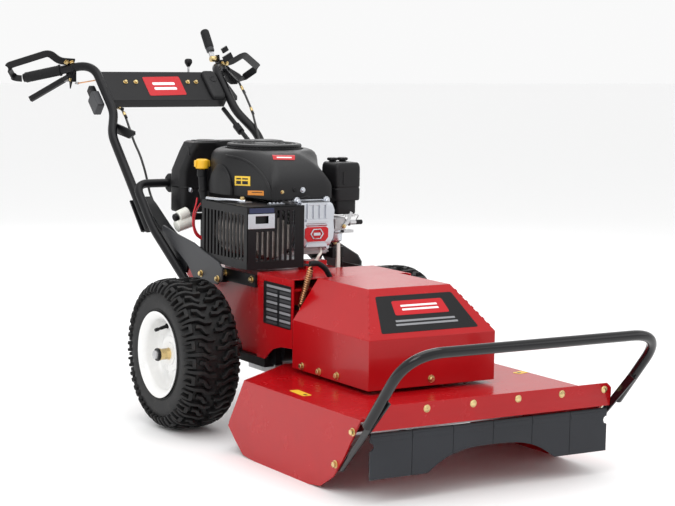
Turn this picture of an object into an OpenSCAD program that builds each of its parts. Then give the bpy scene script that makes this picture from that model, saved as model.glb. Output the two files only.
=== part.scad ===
// Walk-behind brush mower: two driven wheels, a floating front cutting deck,
// a vertical-shaft engine and an operator's handle with its controls.
// Millimetres. +Z is up, -Y is the front (the deck), +X is the operator's left.

/* [Wheels] */
// Radius of a tyre to the tops of its lugs
tyre_r = 212; // [205:1:216]
// Width of a tyre
tyre_w = 165; // [150:1:168]
// Distance from the centre plane to a tyre's outer side
track_half = 428; // [425:1:435]
// Radius of the rim's flange
rim_r = 121; // [116:1:124]
// Radius of an axle shaft
axle_r = 16; // [12:0.5:18]

/* [Deck] */
// Overall width of the cutting deck
deck_w = 749; // [745:1:760]
// Height of the deck's top sheet
deck_top_z = 204; // [200:1:206]
// Distance from the axle forward to the front edge of the deck's top
deck_front = 981; // [978:1:984]
// Distance from the axle forward to the rear edge of the deck's top
deck_rear = 245; // [244:1:250]
// Thickness of the deck's sheet steel
deck_t = 5; // [4:0.5:6]
// Height of the axis that the deck rolls on
pivot_z = 250; // [248:1:252]
// Width of the front lip
lip_w = 726; // [720:1:730]
// Number of rubber flaps across the front
flap_count = 6; // [6:1:6]

/* [Hood] */
// Width of the belt hood's vertical walls
hood_w = 391; // [385:1:395]
// Height of the crease where the walls turn inward
hood_crease_z = 343; // [338:1:346]
// Height of the hood's flat top
hood_top_z = 456; // [450:1:458]
// Width of the flat top
hood_top_w = 257; // [250:1:262]

/* [Blade] */
// Tip-to-tip length of the blade
blade_len = 711; // [700:1:712]
// Height of the blade's lower face
blade_z = 85; // [80:1:88]
// Distance from the axle forward to the blade spindle
spindle_y = 612; // [610:1:614]
// Outer radius of the pulley on the blade spindle
spindle_pulley_r = 77; // [70:1:80]
// Outer radius of the pulley on the crankshaft
crank_pulley_r = 62; // [55:1:64]

/* [Frame] */
// Width over the front side panels
frame_w = 380; // [376:1:384]
// Height of the engine deck's upper face
frame_top_z = 421; // [418:1:424]
// Height of the frame's lower edge
frame_low_z = 212; // [208:1:214]

/* [Handle] */
// Diameter of the handle tubes
tube_d = 28; // [25:1:30]
// Distance from the centre plane to a handle tube's axis beside the console
console_x = 217; // [214:1:219]
// Distance from the centre plane to a handle tube's axis below its outward bend
handle_x = 256; // [252:1:258]
// Diameter of a rubber hand grip
grip_d = 34; // [30:1:36]
// Diameter of the bumper tube
bumper_d = 26; // [24:1:27]

/* [Engine] */
// Distance from the axle rearward to the crankshaft
crank_y = 165; // [160:1:168]
// Radius of the fan screen on the blower housing
fan_r = 110; // [105:1:114]
// Height of the blower housing's highest face
shroud_top_z = 770; // [765:1:775]

/* [Hidden] */
$fn = 48;

deck_half = deck_w / 2;
lip_half = lip_w / 2;
frame_half = frame_w / 2;
front_top_z = frame_top_z + 27;
hood_half = hood_w / 2;
tube_r = tube_d / 2;
grip_r = grip_d / 2;
gusset_x = 228;
leg_x = handle_x + 2;
bumper_r = bumper_d / 2;

// The box is centred: the bumper is as far ahead of the origin as the guards are behind it
bumper_front = 1180;
guard_rear = 1076;
guard_t = 5;
axle_y = (bumper_front + bumper_r - guard_rear - guard_t / 2) / 2;

// Where the deck's side plates end, the corner of its top, and the hood on it
corner_y = -412;
chamfer_x = 157;
hood_front_y = -733;
hood_rear_y = -351;
hood_low_z = deck_top_z + 10;

// Belt drive
belt_z = 330;
belt_h = 11;
groove_depth = 9;
belt_t = 8;
pulley_h = 30;
run_gap = 0.05;
shaft_r = 12.7;

// Flaps
flap_pitch = 2 * (lip_half - 5) / flap_count;
flap_t = 6;
flap_y = -998;
flap_hinge_z = 170;
flap_low_z = 61;
arch_half = 192;
arch_rise = 52;

red = [0.72, 0.04, 0.06];
black = [0.05, 0.05, 0.055];
zinc = [0.75, 0.62, 0.35];
steel = [0.7, 0.7, 0.72];
charcoal = [0.1, 0.1, 0.11];

module at_axle() { translate([0, axle_y, 0]) children(); }
module both_sides() {
    children();
    mirror([1, 0, 0]) children();
}

// A cylinder along X, from x0 to x1
module rod_x(x0, x1, y, z, r) {
    translate([x0, y, z]) rotate([0, 90, 0]) cylinder(r = r, h = x1 - x0);
}
// A cylinder along Y, from y0 to y1
module rod_y(x, y0, y1, z, r) {
    translate([x, y0, z]) rotate([-90, 0, 0]) cylinder(r = r, h = y1 - y0);
}
// A plate whose outline is given as [y, z] points, lying between x0 and x1
module plate_yz(points, x0, x1) {
    translate([x0, 0, 0]) rotate([90, 0, 90]) linear_extrude(x1 - x0) polygon(points);
}
// A plate whose outline is given as [x, z] points, lying between y0 and y1
module plate_xz(points, y0, y1) {
    translate([0, y1, 0]) rotate([90, 0, 0]) linear_extrude(y1 - y0) polygon(points);
}
// A sheet panel between corner points
module panel(corners, t) {
    hull() for (p = corners) translate(p) cube(t, center = true);
}
// A hexagon bolt head on a washer, with its axis along X
module bolt_x(x, y, z, r, out) {
    translate([x, y, z]) rotate([0, 90 * out, 0]) {
        cylinder(r = r * 1.25, h = 2);
        cylinder(r = r, h = r, $fn = 6);
    }
}
module bolt_front(x, y, z, r) {
    translate([x, y, z]) rotate([90, 0, 0]) {
        cylinder(r = r * 1.25, h = 2);
        cylinder(r = r, h = r, $fn = 6);
    }
}

// A straight round bar between two points
module bar(a, b, r) {
    d = b - a;
    translate(a) rotate([0, acos(d[2] / norm(d)), atan2(d[1], d[0])]) cylinder(r = r, h = norm(d));
}

// Swept tubes: a route with rounded corners, then rings carried along it
function unit(v) = v / norm(v);
function bend_points(a, b, c, reach, steps) = [
    for (i = [0 : steps])
        let (t = i / steps, p = b + unit(a - b) * reach, q = b + unit(c - b) * reach)
        p * (1 - t) * (1 - t) + b * 2 * t * (1 - t) + q * t * t
];
function rounded_route(p, reach, steps = 6) = [
    p[0],
    for (i = [1 : len(p) - 2]) each bend_points(p[i - 1], p[i], p[i + 1], reach, steps),
    p[len(p) - 1]
];
function direction(p, i) = unit(p[min(i + 1, len(p) - 1)] - p[max(i - 1, 0)]);
function square_to(n, d) = unit(n - d * (n * d));
function carried(p, i) = i == 0
    ? square_to(abs(direction(p, 0)[2]) > 0.9 ? [1, 0, 0] : [0, 0, 1], direction(p, 0))
    : square_to(carried(p, i - 1), direction(p, i));
module swept(p, r, sides = 12) {
    rings = [
        for (i = [0 : len(p) - 1])
            let (d = direction(p, i), n = carried(p, i), b = cross(d, n))
            for (k = [0 : sides - 1])
                let (a = 360 * k / sides)
                p[i] + r * (n * cos(a) + b * sin(a))
    ];
    last = (len(p) - 1) * sides;
    faces = concat(
        [[for (k = [0 : sides - 1]) k]],
        [for (i = [0 : len(p) - 2]) for (k = [0 : sides - 1])
            [i * sides + k, (i + 1) * sides + k,
             (i + 1) * sides + (k + 1) % sides, i * sides + (k + 1) % sides]],
        [[for (k = [sides - 1 : -1 : 0]) last + k]]
    );
    polyhedron(points = rings, faces = faces, convexity = 6);
}

// ---------------------------------------------------------------- wheels
module tyre() {
    x0 = track_half - tyre_w;
    mid = x0 + tyre_w / 2;
    outer = [[rim_r - 17, -66], [rim_r - 6, -76], [150, -82], [178, -80], [199, -72],
             [209, -50], [tyre_r, -22], [tyre_r, 22], [209, 50], [199, 72], [178, 80],
             [150, 82], [rim_r - 6, 76], [rim_r - 17, 66]];
    inner = [[rim_r - 17, 52], [148, 68], [176, 66], [189, 58], [196, 44], [198, 0],
             [196, -44], [189, -58], [176, -66], [148, -68], [rim_r - 17, -52]];
    color(charcoal)
        translate([mid, 0, tyre_r]) rotate([0, 90, 0])
            rotate_extrude($fn = 96) polygon(concat(outer, inner));
}
module rim() {
    x0 = track_half - tyre_w / 2;
    barrel = rim_r - 17.4;
    color("white") translate([x0, 0, tyre_r]) rotate([0, 90, 0]) rotate_extrude($fn = 96)
        polygon([[rim_r, 82], [rim_r, 78.6], [rim_r - 6.2, 76.6], [barrel, 66.2],
                 [barrel, -66.2], [rim_r - 6.2, -76.6], [rim_r, -78.6], [rim_r, -82],
                 [barrel - 4, -70], [barrel - 4, 20], [60, 34], [axle_r * 2, 30],
                 [axle_r * 2, 35], [60, 39], [barrel - 4, 26], [barrel - 4, 70]]);
    // Valve stem, through the rim beside its flange
    color(black) translate([track_half - 55, 0, tyre_r]) rotate([45, 0, 0])
        translate([0, 96, 0]) rotate([0, 90, 0]) cylinder(r = 5, h = 46);
}
module axle_hub() {
    color(zinc) translate([0, 0, tyre_r]) {
        rod_x(110, track_half + 8, 0, 0, axle_r);
        difference() {
            rod_x(track_half - 95, track_half - 14, 0, 0, axle_r * 2 - 0.1);
            rod_x(track_half - 96, track_half - 13, 0, 0, axle_r - 1);
        }
        rod_x(track_half - 58, track_half - 53.2, 0, 0, 50);
        for (a = [0 : 72 : 359]) rotate([a, 0, 0])
            bolt_x(track_half - 44, 42, 0, 7, 1);
    }
}

// ---------------------------------------------------------------- frame
module side_panel() {
    step_y = -145;
    // Front part, at full width, with the arch that clears the deck
    plate_yz([[-340, 262], [-280, 258], [-235, 246], [-205, 226], [-190, frame_low_z],
              [step_y, frame_low_z], [step_y, 414], [-322.1, 414], [-322.1, front_top_z],
              [-340, front_top_z]], frame_half - 5, frame_half);
    // Rear part, set inward beside the tyre
    difference() {
        plate_yz([[step_y, frame_low_z], [140, frame_low_z], [190, 300], [235, 330],
                  [330, 400], [330, 414], [step_y, 414]], frame_half - 20, frame_half - 15);
        rod_x(frame_half - 21, frame_half - 14, 0, tyre_r, 34);
    }
    // Step between the two
    translate([frame_half - 20, step_y - 5, frame_low_z]) cube([20, 5, 202]);
}
module frame_shell() {
    color(red) at_axle() {
        both_sides() side_panel();
        // Front cross plate: a belt window above, a tongue round the pivot pin below
        difference() {
            plate_xz([[-frame_half + 5, 262], [-38, 262], [-34, 224], [34, 224], [38, 262],
                      [frame_half - 5, 262], [frame_half - 5, 414], [-frame_half + 5, 414]],
                     -304, -296);
            translate([-100, -305, 305]) cube([200, 10, 62]);
            rod_y(0, -305, -295, pivot_z, 20);
        }
        // Rear cross plate, behind the crankshaft's pulley
        translate([-frame_half + 20, 236, 336]) cube([frame_w - 40, 5, 78]);
        // Raised cover over the front of the engine plate, open towards the deck
        difference() {
            translate([-frame_half, -326, frame_top_z])
                cube([frame_w, 183, front_top_z - frame_top_z]);
            translate([-frame_half + 5, -327, frame_top_z - 1])
                cube([frame_w - 10, 179, front_top_z - frame_top_z - 2]);
            translate([-frame_half + 5, -327, front_top_z - 4]) cube([frame_w - 10, 4.9, 5]);
        }
        // Stand under the front of the cylinder
        difference() {
            translate([-34, -145, frame_top_z]) cube([68, 45, 50]);
            translate([-29, -143, frame_top_z + 5]) cube([58, 44, 40]);
        }
    }
}
module engine_plate() {
    color(red) at_axle() difference() {
        translate([-frame_half, -322, frame_top_z - 7]) cube([frame_w, 654, 6.9]);
        translate([0, crank_y, frame_top_z - 10]) cylinder(r = 46, h = 20);
        translate([70, -250, frame_top_z - 10]) cylinder(r = 16, h = 20);
    }
}
module lower_frame() {
    color(black) at_axle() {
        // Rails, each with a saddle that clears its axle shaft
        difference() {
            both_sides() translate([frame_half - 30, -190, 188]) cube([30, 330, 23.5]);
            rod_x(-frame_half - 1, frame_half + 1, 0, tyre_r, axle_r + 0.6);
        }
        translate([-frame_half + 30, 110, 188]) cube([frame_w - 60, 30, 23.5]);
        // Round knuckle that carries the pivot
        rod_x(-150, 150, -196, 236, 36);
        both_sides() translate([146, -214, 196]) cube([22, 44, 60]);
        rod_y(0, -410, -180, pivot_z, 20 - run_gap);
        rod_y(0, -420, -404, pivot_z, 27);
    }
}
module transaxle() {
    color(steel) at_axle() difference() {
        union() {
            translate([-92, -78, 140]) cube([184, 156, 150]);
            rod_x(-158, 158, 0, tyre_r, 32);
            translate([0, 20, 290]) cylinder(r = 34, h = 16);
        }
        both_sides() rod_x(104, 160, 0, tyre_r, axle_r + run_gap);
    }
}
module gusset_plates() {
    outline = [[362, 532], [254, 513], [161, 500], [100, 483], [6, 461], [-15, 443],
               [-13, 412], [14, 396], [160, 400], [200, 435], [362, 510]];
    color([0.3, 0.3, 0.32]) at_axle() both_sides() plate_yz(outline, gusset_x, gusset_x + 5);
}
module side_brackets() {
    color(black) at_axle() both_sides() {
        // Angle under the edge of the engine plate, with its outer face standing above
        translate([frame_half - 14.9, -144, 405]) cube([22, 206, 8.8]);
        translate([frame_half + 0.1, -144, 405]) cube([7, 206, 34]);
        translate([frame_half - 14.9, 60, 395]) cube([gusset_x - frame_half + 14.7, 20, 18.8]);
        // Strut from the gusset up to the handle tube: a plate with a flange along its top
        plate_yz([[532, 602], [492, 584], [395, 528], [200, 439], [218, 405], [402, 485],
                  [485, 549], [540, 584]], gusset_x - 8, gusset_x - 0.2);
        plate_yz([[532, 602], [492, 584], [395, 528], [200, 439], [203, 433], [398, 522],
                  [495, 578], [535, 596]], frame_half + 0.1, gusset_x - 7);
        // Spacers between the strut and the handle tube
        for (p = [[440, 540], [474, 572]]) rod_x(gusset_x - 1, handle_x - 11, p[0], p[1], 8);
        // Clamp strip behind the handle tube, and its nuts
        plate_yz([[432, 509], [514, 594], [518, 590], [436, 505]], handle_x - 14, handle_x + 12);
        for (p = [[446, 515], [502, 573]])
            bar([handle_x - 2, p[0], p[1]], [handle_x - 2, p[0] + 8, p[1] - 8], 7);
        // Bracket from the engine deck to the underside of the tank
        translate([120, 300, frame_top_z]) cube([12, 12, 143.9]);
        translate([120, 312, 552]) cube([12, 120, 12.9]);
        // Ears on each side of a presence lever's pivot
        for (y = [939, 979]) translate([258, y, 938]) cube([16, 6, 34]);
    }
    color(black) at_axle() {
        // Cable plate on the right handle tube
        plate_yz([[713, 818], [575, 799], [574, 789], [610, 775], [712, 787]],
                 -handle_x + 28, -handle_x + 34);
        // Cable plate under the left grip
        plate_yz([[881, 982], [858, 984], [779, 948], [786, 936], [821, 934], [858, 944]],
                 console_x + 22, console_x + 28);
        // Strap that holds the canister
        translate([-164, 300, 550]) cube([31.9, 6, 20]);
        // Linkage rod down the left side, with its joint
        swept(rounded_route([[197, 792, 856], [209, 640, 760], [212, 560, 712], [209, 478, 580]],
                            40, 4), 7.5);
        bar([202, 712, 805], [204, 682, 786], 12);
    }
    // Ears of the clutch lever and of the throttle lever
    color(black) at_axle() {
        plate_yz([[915, 992], [947, 1003], [947, 1027], [925, 1029]], 246.2, 251);
        for (x = [114, 139]) translate([x, 903, 938]) cube([7, 20, 14]);
        translate([114, 896, 932]) cube([32, 28, 6]);
        translate([114, 893, 932]) cube([32, 7, 27]);
        // Stop plates beside the clutch lever
        translate([256, 903, 1034]) rotate([0, -30, 0]) cube([22, 8, 17]);
        translate([263, 903, 1004]) rotate([0, -30, 0]) cube([34, 8, 20]);
    }
    // Presence-switch box outside the right tube, and its cover
    color([0.45, 0.45, 0.47]) at_axle()
        translate([-console_x - tube_r - 22, 812, 839]) rotate([42, 0, 0]) cube([22, 62, 44]);
    color(black) at_axle()
        translate([-console_x - tube_r - 18, 846, 884]) rotate([42, 0, 0]) cube([18, 40, 24]);
}
module chassis_bolts() {
    x = gusset_x + 5;
    color(zinc) at_axle() {
        both_sides() {
            bolt_x(x, 109, 417, 8, 1);
            bolt_x(x, 8, 413, 8, 1);
            bolt_x(frame_half + 7.1, 29, 426, 8, 1);
            bolt_x(frame_half + 7.1, -125, 426, 8, 1);
        }
        for (b = [-132, -96, 90, 120]) console_frame() translate([b, 82, 4]) {
            cylinder(r = 8, h = 2);
            cylinder(r = 6.5, h = 7, $fn = 6);
        }
    }
}

// ---------------------------------------------------------------- handle
grip_root = [273, 950, 982];
grip_end = [391, 1052, 947];
handle_foot = [handle_x - 4, 411, 514];
handle_knee = [handle_x, 672, 784];
handle_rise = [console_x, 742, 850];
handle_turn = [console_x, 903, 998];
module handle_tube() {
    color(black) at_axle()
        swept(concat([handle_foot],
                     bend_points(handle_foot, handle_knee, handle_rise, 30, 4),
                     bend_points(handle_knee, handle_rise, handle_turn, 30, 4),
                     bend_points(handle_rise, handle_turn, grip_root, 60, 8), [grip_end]),
              tube_r);
}
module hand_grip() {
    way = unit(grip_end - grip_root);
    color(charcoal) at_axle() difference() {
        bar(grip_root + way * 34, grip_end + way * 6, grip_r);
        bar(grip_root + way * 30, grip_end + way * 0.3, tube_r + 0.2);
    }
}
// A flat strap bent into a loop over the grip, its flat side facing the hand
guard_route = [[262, 946, 1001], [310, 952, 1004], [352, 941, 1030], [457, 1028, 986],
               [418, 1068, 947], [397, 1055, 945]];
module strap_edge(at) {
    translate(at) rotate([0, 0, 45]) rotate([40, 0, 0])
        cylinder(d = guard_t, h = 24, center = true, $fn = 12);
}
module hand_guard() {
    path = rounded_route(guard_route, 12, 3);
    color(black) at_axle()
        for (i = [0 : len(path) - 2]) hull() {
            strap_edge(path[i]);
            strap_edge(path[i + 1]);
        }
}
// One bent tube: two legs rising from the frame's tail, joined by a bar behind the tank
leg_foot = [leg_x - 28, 190, 369];
leg_knee = [leg_x, 376, 523];
leg_top = [leg_x, 498, 645];
function flipped(p) = [-p[0], p[1], p[2]];
module cross_tube() {
    one_leg = concat([leg_foot], bend_points(leg_foot, leg_knee, leg_top, 40, 5),
                     bend_points(leg_knee, leg_top, flipped(leg_top), 55, 7));
    other_leg = [for (i = [len(one_leg) - 1 : -1 : 0]) flipped(one_leg[i])];
    color(black) at_axle() {
        swept(concat(one_leg, other_leg), tube_r - 1);
        // Rubber ring round the bar, behind the tank
        rod_x(-148, -130, leg_top[1], leg_top[2], 29);
    }
}
// The console's own frame: origin at its lower edge, +Y up the face, +Z out of it
console_low = [0, 782, 882];
console_high = [0, 878, 970];
console_len = norm(console_high - console_low);
console_tilt = atan2(console_high[2] - console_low[2], console_high[1] - console_low[1]);
module console_frame() {
    translate(console_low) rotate([console_tilt, 0, 0]) children();
}
module console_panel() {
    w = console_x - tube_r - 0.2;
    color(black) at_axle() console_frame() {
        translate([-w, 0, 0]) cube([2 * w, console_len, 4]);
        translate([-w, 0, -28]) cube([2 * w, 4, 28.1]);
        translate([-w, console_len - 4, -24]) cube([2 * w, 4, 24.1]);
        both_sides() translate([w - 4, 0, -24]) cube([4, console_len, 24.1]);
    }
}
module control_pod() {
    color(charcoal) at_axle() console_frame() difference() {
        hull() {
            translate([160, 6, 4.1]) cube([42, console_len - 14, 12]);
            translate([150, 2, 4.1]) cube([52, console_len - 4, 1]);
        }
        translate([168, 78, 10]) cube([26, 14, 10]);
    }
}
module clutch_lever() {
    base = [232, 934, 1015];
    tip = [232, 1000, 1108];
    way = unit(tip - base);
    color(charcoal) at_axle() {
        bar(base - way * 8, base + way * 70, 7);
        bar(base + way * 66, tip, 15);
        rod_x(222, 246, base[1], base[2], 10);
    }
}
lever_pivot = [268, 962, 957];
lever_tip = [372, 1039, 880];
// The lever turns about this line, straight towards the grip
lever_axis = unit(cross(lever_tip - lever_pivot, grip_end - grip_root));
module presence_lever() {
    color(charcoal) at_axle() {
        bar(lever_pivot, lever_tip, 9);
        bar(lever_pivot - 7 * lever_axis, lever_pivot + 7 * lever_axis, 9.5);
    }
}
throttle_base = [130, 914, 945];
module throttle_lever() {
    color(black) at_axle() {
        translate(throttle_base) cylinder(r = 4, h = 50);
        translate(throttle_base + [0, 0, 58]) sphere(r = 13);
        rod_x(122, 138, throttle_base[1], throttle_base[2], 6);
    }
}
drive_cable = [[-196, 790, 862], [-196, 735, 862], [-197, 707, 846], [-204, 620, 761],
               [-203, 581, 726], [-194, 560, 672], [-182, 557, 612], [-178, 500, 545],
               [-172, 380, 450], [-170, 334, 426]];
clutch_cable = [[262, 811, 945], [268, 785, 913], [264, 719, 852], [246, 655, 797],
                [236, 617, 759], [214, 540, 676], [198, 500, 600], [178, 455, 530],
                [172, 380, 450], [170, 334, 426]];
module control_cables() {
    color(black) at_axle() {
        swept(rounded_route(drive_cable, 22, 3), 4, 8);
        swept(rounded_route(clutch_cable, 22, 3), 4, 8);
    }
}
module tension_spring() {
    color([0.6, 0.38, 0.25]) at_axle() {
        bar([-163, -333, 372], [-129, -333, 486], 7.5);
        // Anchors on the front cross plate and on the raised cover
        translate([-168, -333, 364]) cube([8, 28.9, 12]);
        translate([-137, -333, 482]) cube([24, 26, 5]);
        translate([-119, -313, front_top_z + 0.1]) cube([6, 6, 36]);
    }
}

// ---------------------------------------------------------------- engine
module engine_block() {
    color(steel) at_axle() difference() {
        union() {
            translate([0, crank_y, frame_top_z]) cylinder(r = 112, h = 30);
            translate([0, crank_y, frame_top_z + 30]) cylinder(r = 98, h = 130);
            translate([-52, -60, 505]) cube([104, 170, 150]);
            for (i = [0 : 7]) translate([-66, -62 + 14 * i, 498]) cube([132, 5, 164]);
        }
        translate([0, crank_y, frame_top_z - 1]) cylinder(r = shaft_r + run_gap, h = 200);
        translate([0, crank_y, frame_top_z + 20]) cylinder(r = 74, h = 110);
        translate([-36, -65, 536]) cube([72, 140, 72]);
    }
}
module cylinder_head() {
    color(steel) at_axle() {
        translate([-62, -100, 484]) cube([124, 37.5, 158]);
        for (i = [0 : 8]) translate([-68, -98, 488 + 18 * i]) cube([136, 34, 4]);
    }
}
module valve_cover() {
    color("silver") at_axle() {
        hull() {
            translate([-50, -106, 504]) cube([100, 5.9, 138]);
            translate([-40, -142, 520]) cube([80, 10, 104]);
        }
        translate([-24, -150, 532]) cube([48, 12, 82]);
        for (x = [-48, 48], z = [506, 638]) bolt_front(x, -104, z, 7);
    }
}
module blower_shape(inset, low) {
    hull() {
        translate([0, crank_y, low]) {
            cylinder(r = 158 - inset, h = shroud_top_z - 30 - low, $fn = 32);
            cylinder(r = 148 - inset, h = shroud_top_z - 13 - low, $fn = 32);
            cylinder(r = 124 - inset, h = shroud_top_z - low - inset, $fn = 32);
        }
        translate([-128 + inset, -106 + inset, low]) cube([206 - 2 * inset, 60, 684 - low - inset]);
        translate([-104 + inset, -92 + inset, low]) cube([160 - 2 * inset, 60, 706 - low - inset]);
    }
}
module blower_housing() {
    color(charcoal) at_axle() difference() {
        blower_shape(0, 641);
        blower_shape(6, 630);
        translate([0, crank_y, shroud_top_z - 20]) cylinder(r = fan_r - 8, h = 40);
        translate([-58, -110, 630]) cube([116, 20, 34]);
        // Room for the air cleaner beside it
        translate([111.7, -62.3, 620]) cube([93, 90.6, 130]);
    }
}
module fan_screen() {
    color(charcoal) at_axle() translate([0, crank_y, shroud_top_z]) difference() {
        cylinder(r = fan_r, h = 15);
        translate([0, 0, -1]) cylinder(r = fan_r - 5, h = 12);
        for (a = [5 : 10 : 359]) rotate(a) translate([fan_r - 30, -3, 3]) cube([40, 6, 6]);
    }
}
module muffler() {
    color([0.35, 0.33, 0.32]) at_axle() {
        difference() {
            union() {
                rod_y(-140, -132, 96, 542, 66);
                rod_y(-140, -136, 100, 542, 56);
            }
            rod_y(-140, -128, 92, 542, 62);
            // Outlet, behind the guard's window
            rod_y(-183, -140, -110, 580, 11);
        }
        rod_x(-76, -66.2, -40, 542, 18);
    }
}
module muffler_guard() {
    x0 = -228;
    x1 = -56;
    y0 = -152;
    y1 = 119;
    z0 = 456;
    z1 = 630;
    color(charcoal) at_axle() difference() {
        translate([x0, y0, z0]) cube([x1 - x0, y1 - y0, z1 - z0]);
        translate([x0 + 3, y0 + 3, z0 - 1]) cube([x1 - x0, y1 - y0, z1 - z0 - 2]);
        // Slots in the side, then short and long ones in the front, and the window
        for (i = [0 : 11]) translate([x0 - 1, y0 + 20 + i * 20.5, z0 + 26]) cube([6, 10, 124]);
        for (i = [0 : 3]) translate([x0 + 28 + i * 17, y0 - 1, z0 + 22]) cube([9, 6, 82]);
        for (i = [4 : 8]) translate([x0 + 28 + i * 16.4, y0 - 1, z0 + 22]) cube([8, 6, 140]);
        translate([x0 + 12, y0 - 1, z0 + 116]) cube([64, 6, 38]);
        translate([-72, y0 + 40, z0 - 1]) cube([40, 300, 200]);
    }
}
module air_cleaner() {
    color(charcoal) at_axle() {
        difference() {
            hull() {
                translate([112, -62, 628]) cube([84, 90, 92]);
                translate([120, -54, 628]) cube([68, 74, 110]);
            }
            translate([118, -56, 634]) cube([72, 78, 88]);
        }
        translate([120, -50, 588]) cube([68, 66, 39.9]);
        for (x = [136, 170]) translate([x, 2, 738]) cylinder(r = 15, h = 12);
    }
}
module carburettor() {
    color(steel) at_axle() {
        translate([78, -104, 548]) cube([44, 64, 38]);
        translate([100, -78, 512]) cylinder(r = 21, h = 36);
        rod_x(122, 198, -66, 566, 7);
        rod_y(100, -40, -29, 568, 18);
    }
}
module oil_fill_tube() {
    color(black) at_axle() difference() {
        swept(rounded_route([[-90, 200, 500], [-140, 222, 540], [-160, 236, 620],
                             [-166, 240, 704.5]], 20, 4), 15, 16);
        translate([-165.9, 240, 680]) cylinder(r = 10, h = 40);
    }
}
module dipstick() {
    color([0.9, 0.6, 0.08]) at_axle() {
        translate([-166, 240, 706.3]) cylinder(r = 20, h = 30);
        translate([-190, 233, 712]) cube([48, 14, 22]);
    }
    color(steel) at_axle() translate([-166, 240, 682]) cylinder(r = 8, h = 25);
}
// The tank leans forward over the back of the blower housing and is hollowed to clear it
module tank_shape(inset) {
    difference() {
        hull() {
            translate([-172 + inset, 356 + inset, 565 + inset])
                cube([344 - 2 * inset, 88 - 2 * inset, 128 - 2 * inset]);
            translate([-158 + inset, 302 + inset, 740])
                cube([316 - 2 * inset, 92 - 2 * inset, 42 - inset]);
        }
        translate([0, crank_y, 500]) cylinder(r = 164 + inset, h = 300);
    }
}
module fuel_tank() {
    color(charcoal) at_axle() difference() {
        union() {
            difference() {
                tank_shape(0);
                tank_shape(6);
            }
            // Cup that the cap sits down into
            translate([-96, 352, 762]) cylinder(r = 41, h = 19.9);
        }
        translate([-96, 352, 768]) cylinder(r = 37, h = 20);
        translate([-96, 352, 740]) cylinder(r = 24, h = 60);
    }
}
module fuel_cap() {
    color(black) at_axle() {
        translate([-96, 352, 768.3]) cylinder(r = 34, h = 17);
        translate([-96, 352, 752]) cylinder(r = 22, h = 17);
    }
}
module vent_canister() {
    color("white") at_axle() {
        bar([-208, 310, 561], [-175, 310, 574], 17);
        bar([-214, 310, 533], [-165, 310, 547], 19);
    }
    color(black) at_axle() bar([-222, 310, 556], [-208.4, 310, 560.8], 12);
}

// ---------------------------------------------------------------- belt drive
module pulley(r) {
    difference() {
        translate([0, 0, belt_z - pulley_h / 2]) cylinder(r = r, h = pulley_h, $fn = 96);
        translate([0, 0, belt_z - belt_h / 2 - 1.5]) difference() {
            cylinder(r = r + 1, h = belt_h + 3, $fn = 96);
            translate([0, 0, -1]) cylinder(r = r - groove_depth, h = belt_h + 5, $fn = 96);
        }
    }
}
module crankshaft() {
    color(steel) at_axle() translate([0, crank_y, 0]) {
        translate([0, 0, belt_z - 22]) cylinder(r = shaft_r, h = 430);
        pulley(crank_pulley_r);
        translate([0, 0, 700]) cylinder(r = 100, h = 18);
        translate([0, 0, frame_top_z + 60]) cylinder(r = 40, h = 24);
    }
}
module spindle() {
    color(steel) at_axle() translate([0, -spindle_y, 0]) {
        translate([0, 0, blade_z - 12]) cylinder(r = shaft_r, h = 275);
        pulley(spindle_pulley_r);
        translate([0, 0, blade_z + 8.2]) cylinder(r = 55, h = 9);
        translate([0, 0, blade_z - 14]) cylinder(r = 20, h = 13.8, $fn = 6);
    }
}
module belt_loop(extra) {
    hull() {
        translate([0, crank_y]) circle(r = crank_pulley_r - groove_depth + 0.4 + extra, $fn = 64);
        translate([0, -spindle_y]) circle(r = spindle_pulley_r - groove_depth + 0.4 + extra, $fn = 64);
    }
}
module belt() {
    color(black) at_axle() translate([0, 0, belt_z - belt_h / 2]) linear_extrude(belt_h)
        difference() {
            belt_loop(belt_t);
            belt_loop(0);
        }
}

// ---------------------------------------------------------------- cutting deck
function side_outline() = [[-deck_front, deck_top_z], [-949, 157], [-906, 95], [-861, 43],
                           [-801, 7], [-744, 0], [-468, 0], [-408, 5], [-364, 36],
                           [-324, 69], [-331, 76], [corner_y, deck_top_z]];
module deck_shell() {
    top = [[-deck_half, -deck_front], [deck_half, -deck_front], [deck_half, corner_y],
           [chamfer_x, -deck_rear], [-chamfer_x, -deck_rear], [-deck_half, corner_y]];
    z = deck_top_z - deck_t / 2;
    low_z = 76;
    lean = 36;
    color(red) at_axle() {
        difference() {
            translate([0, 0, deck_top_z - deck_t]) linear_extrude(deck_t) polygon(top);
            translate([0, -spindle_y, 0]) cylinder(r = 46, h = 300);
        }
        both_sides() plate_yz(side_outline(), deck_half - deck_t, deck_half);
        both_sides() panel([[deck_half - 3, corner_y, z], [chamfer_x, -deck_rear - 3, z],
                            [chamfer_x + 14, -deck_rear + lean, low_z],
                            [deck_half - 3, -331, low_z]], deck_t);
        panel([[-chamfer_x, -deck_rear - 3, z], [chamfer_x, -deck_rear - 3, z],
               [chamfer_x + 14, -deck_rear + lean, low_z],
               [-chamfer_x - 14, -deck_rear + lean, low_z]], deck_t);
    }
}
module front_lip() {
    y = -1008;
    color(red) at_axle() {
        plate_xz([[-lip_half, 206], [-lip_half, 224], [-lip_half + 14, 238.6],
                  [lip_half - 14, 238.6], [lip_half, 224], [lip_half, 206]], y, y + 4);
        panel([[-lip_half + 2, y + 2, 207], [lip_half - 2, y + 2, 207],
               [lip_half - 2, y + 4, 178.5], [-lip_half + 2, y + 4, 178.5]], 4);
        translate([-lip_half, y + 2, 204.1]) cube([lip_w, 40, 4]);
    }
}
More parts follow.
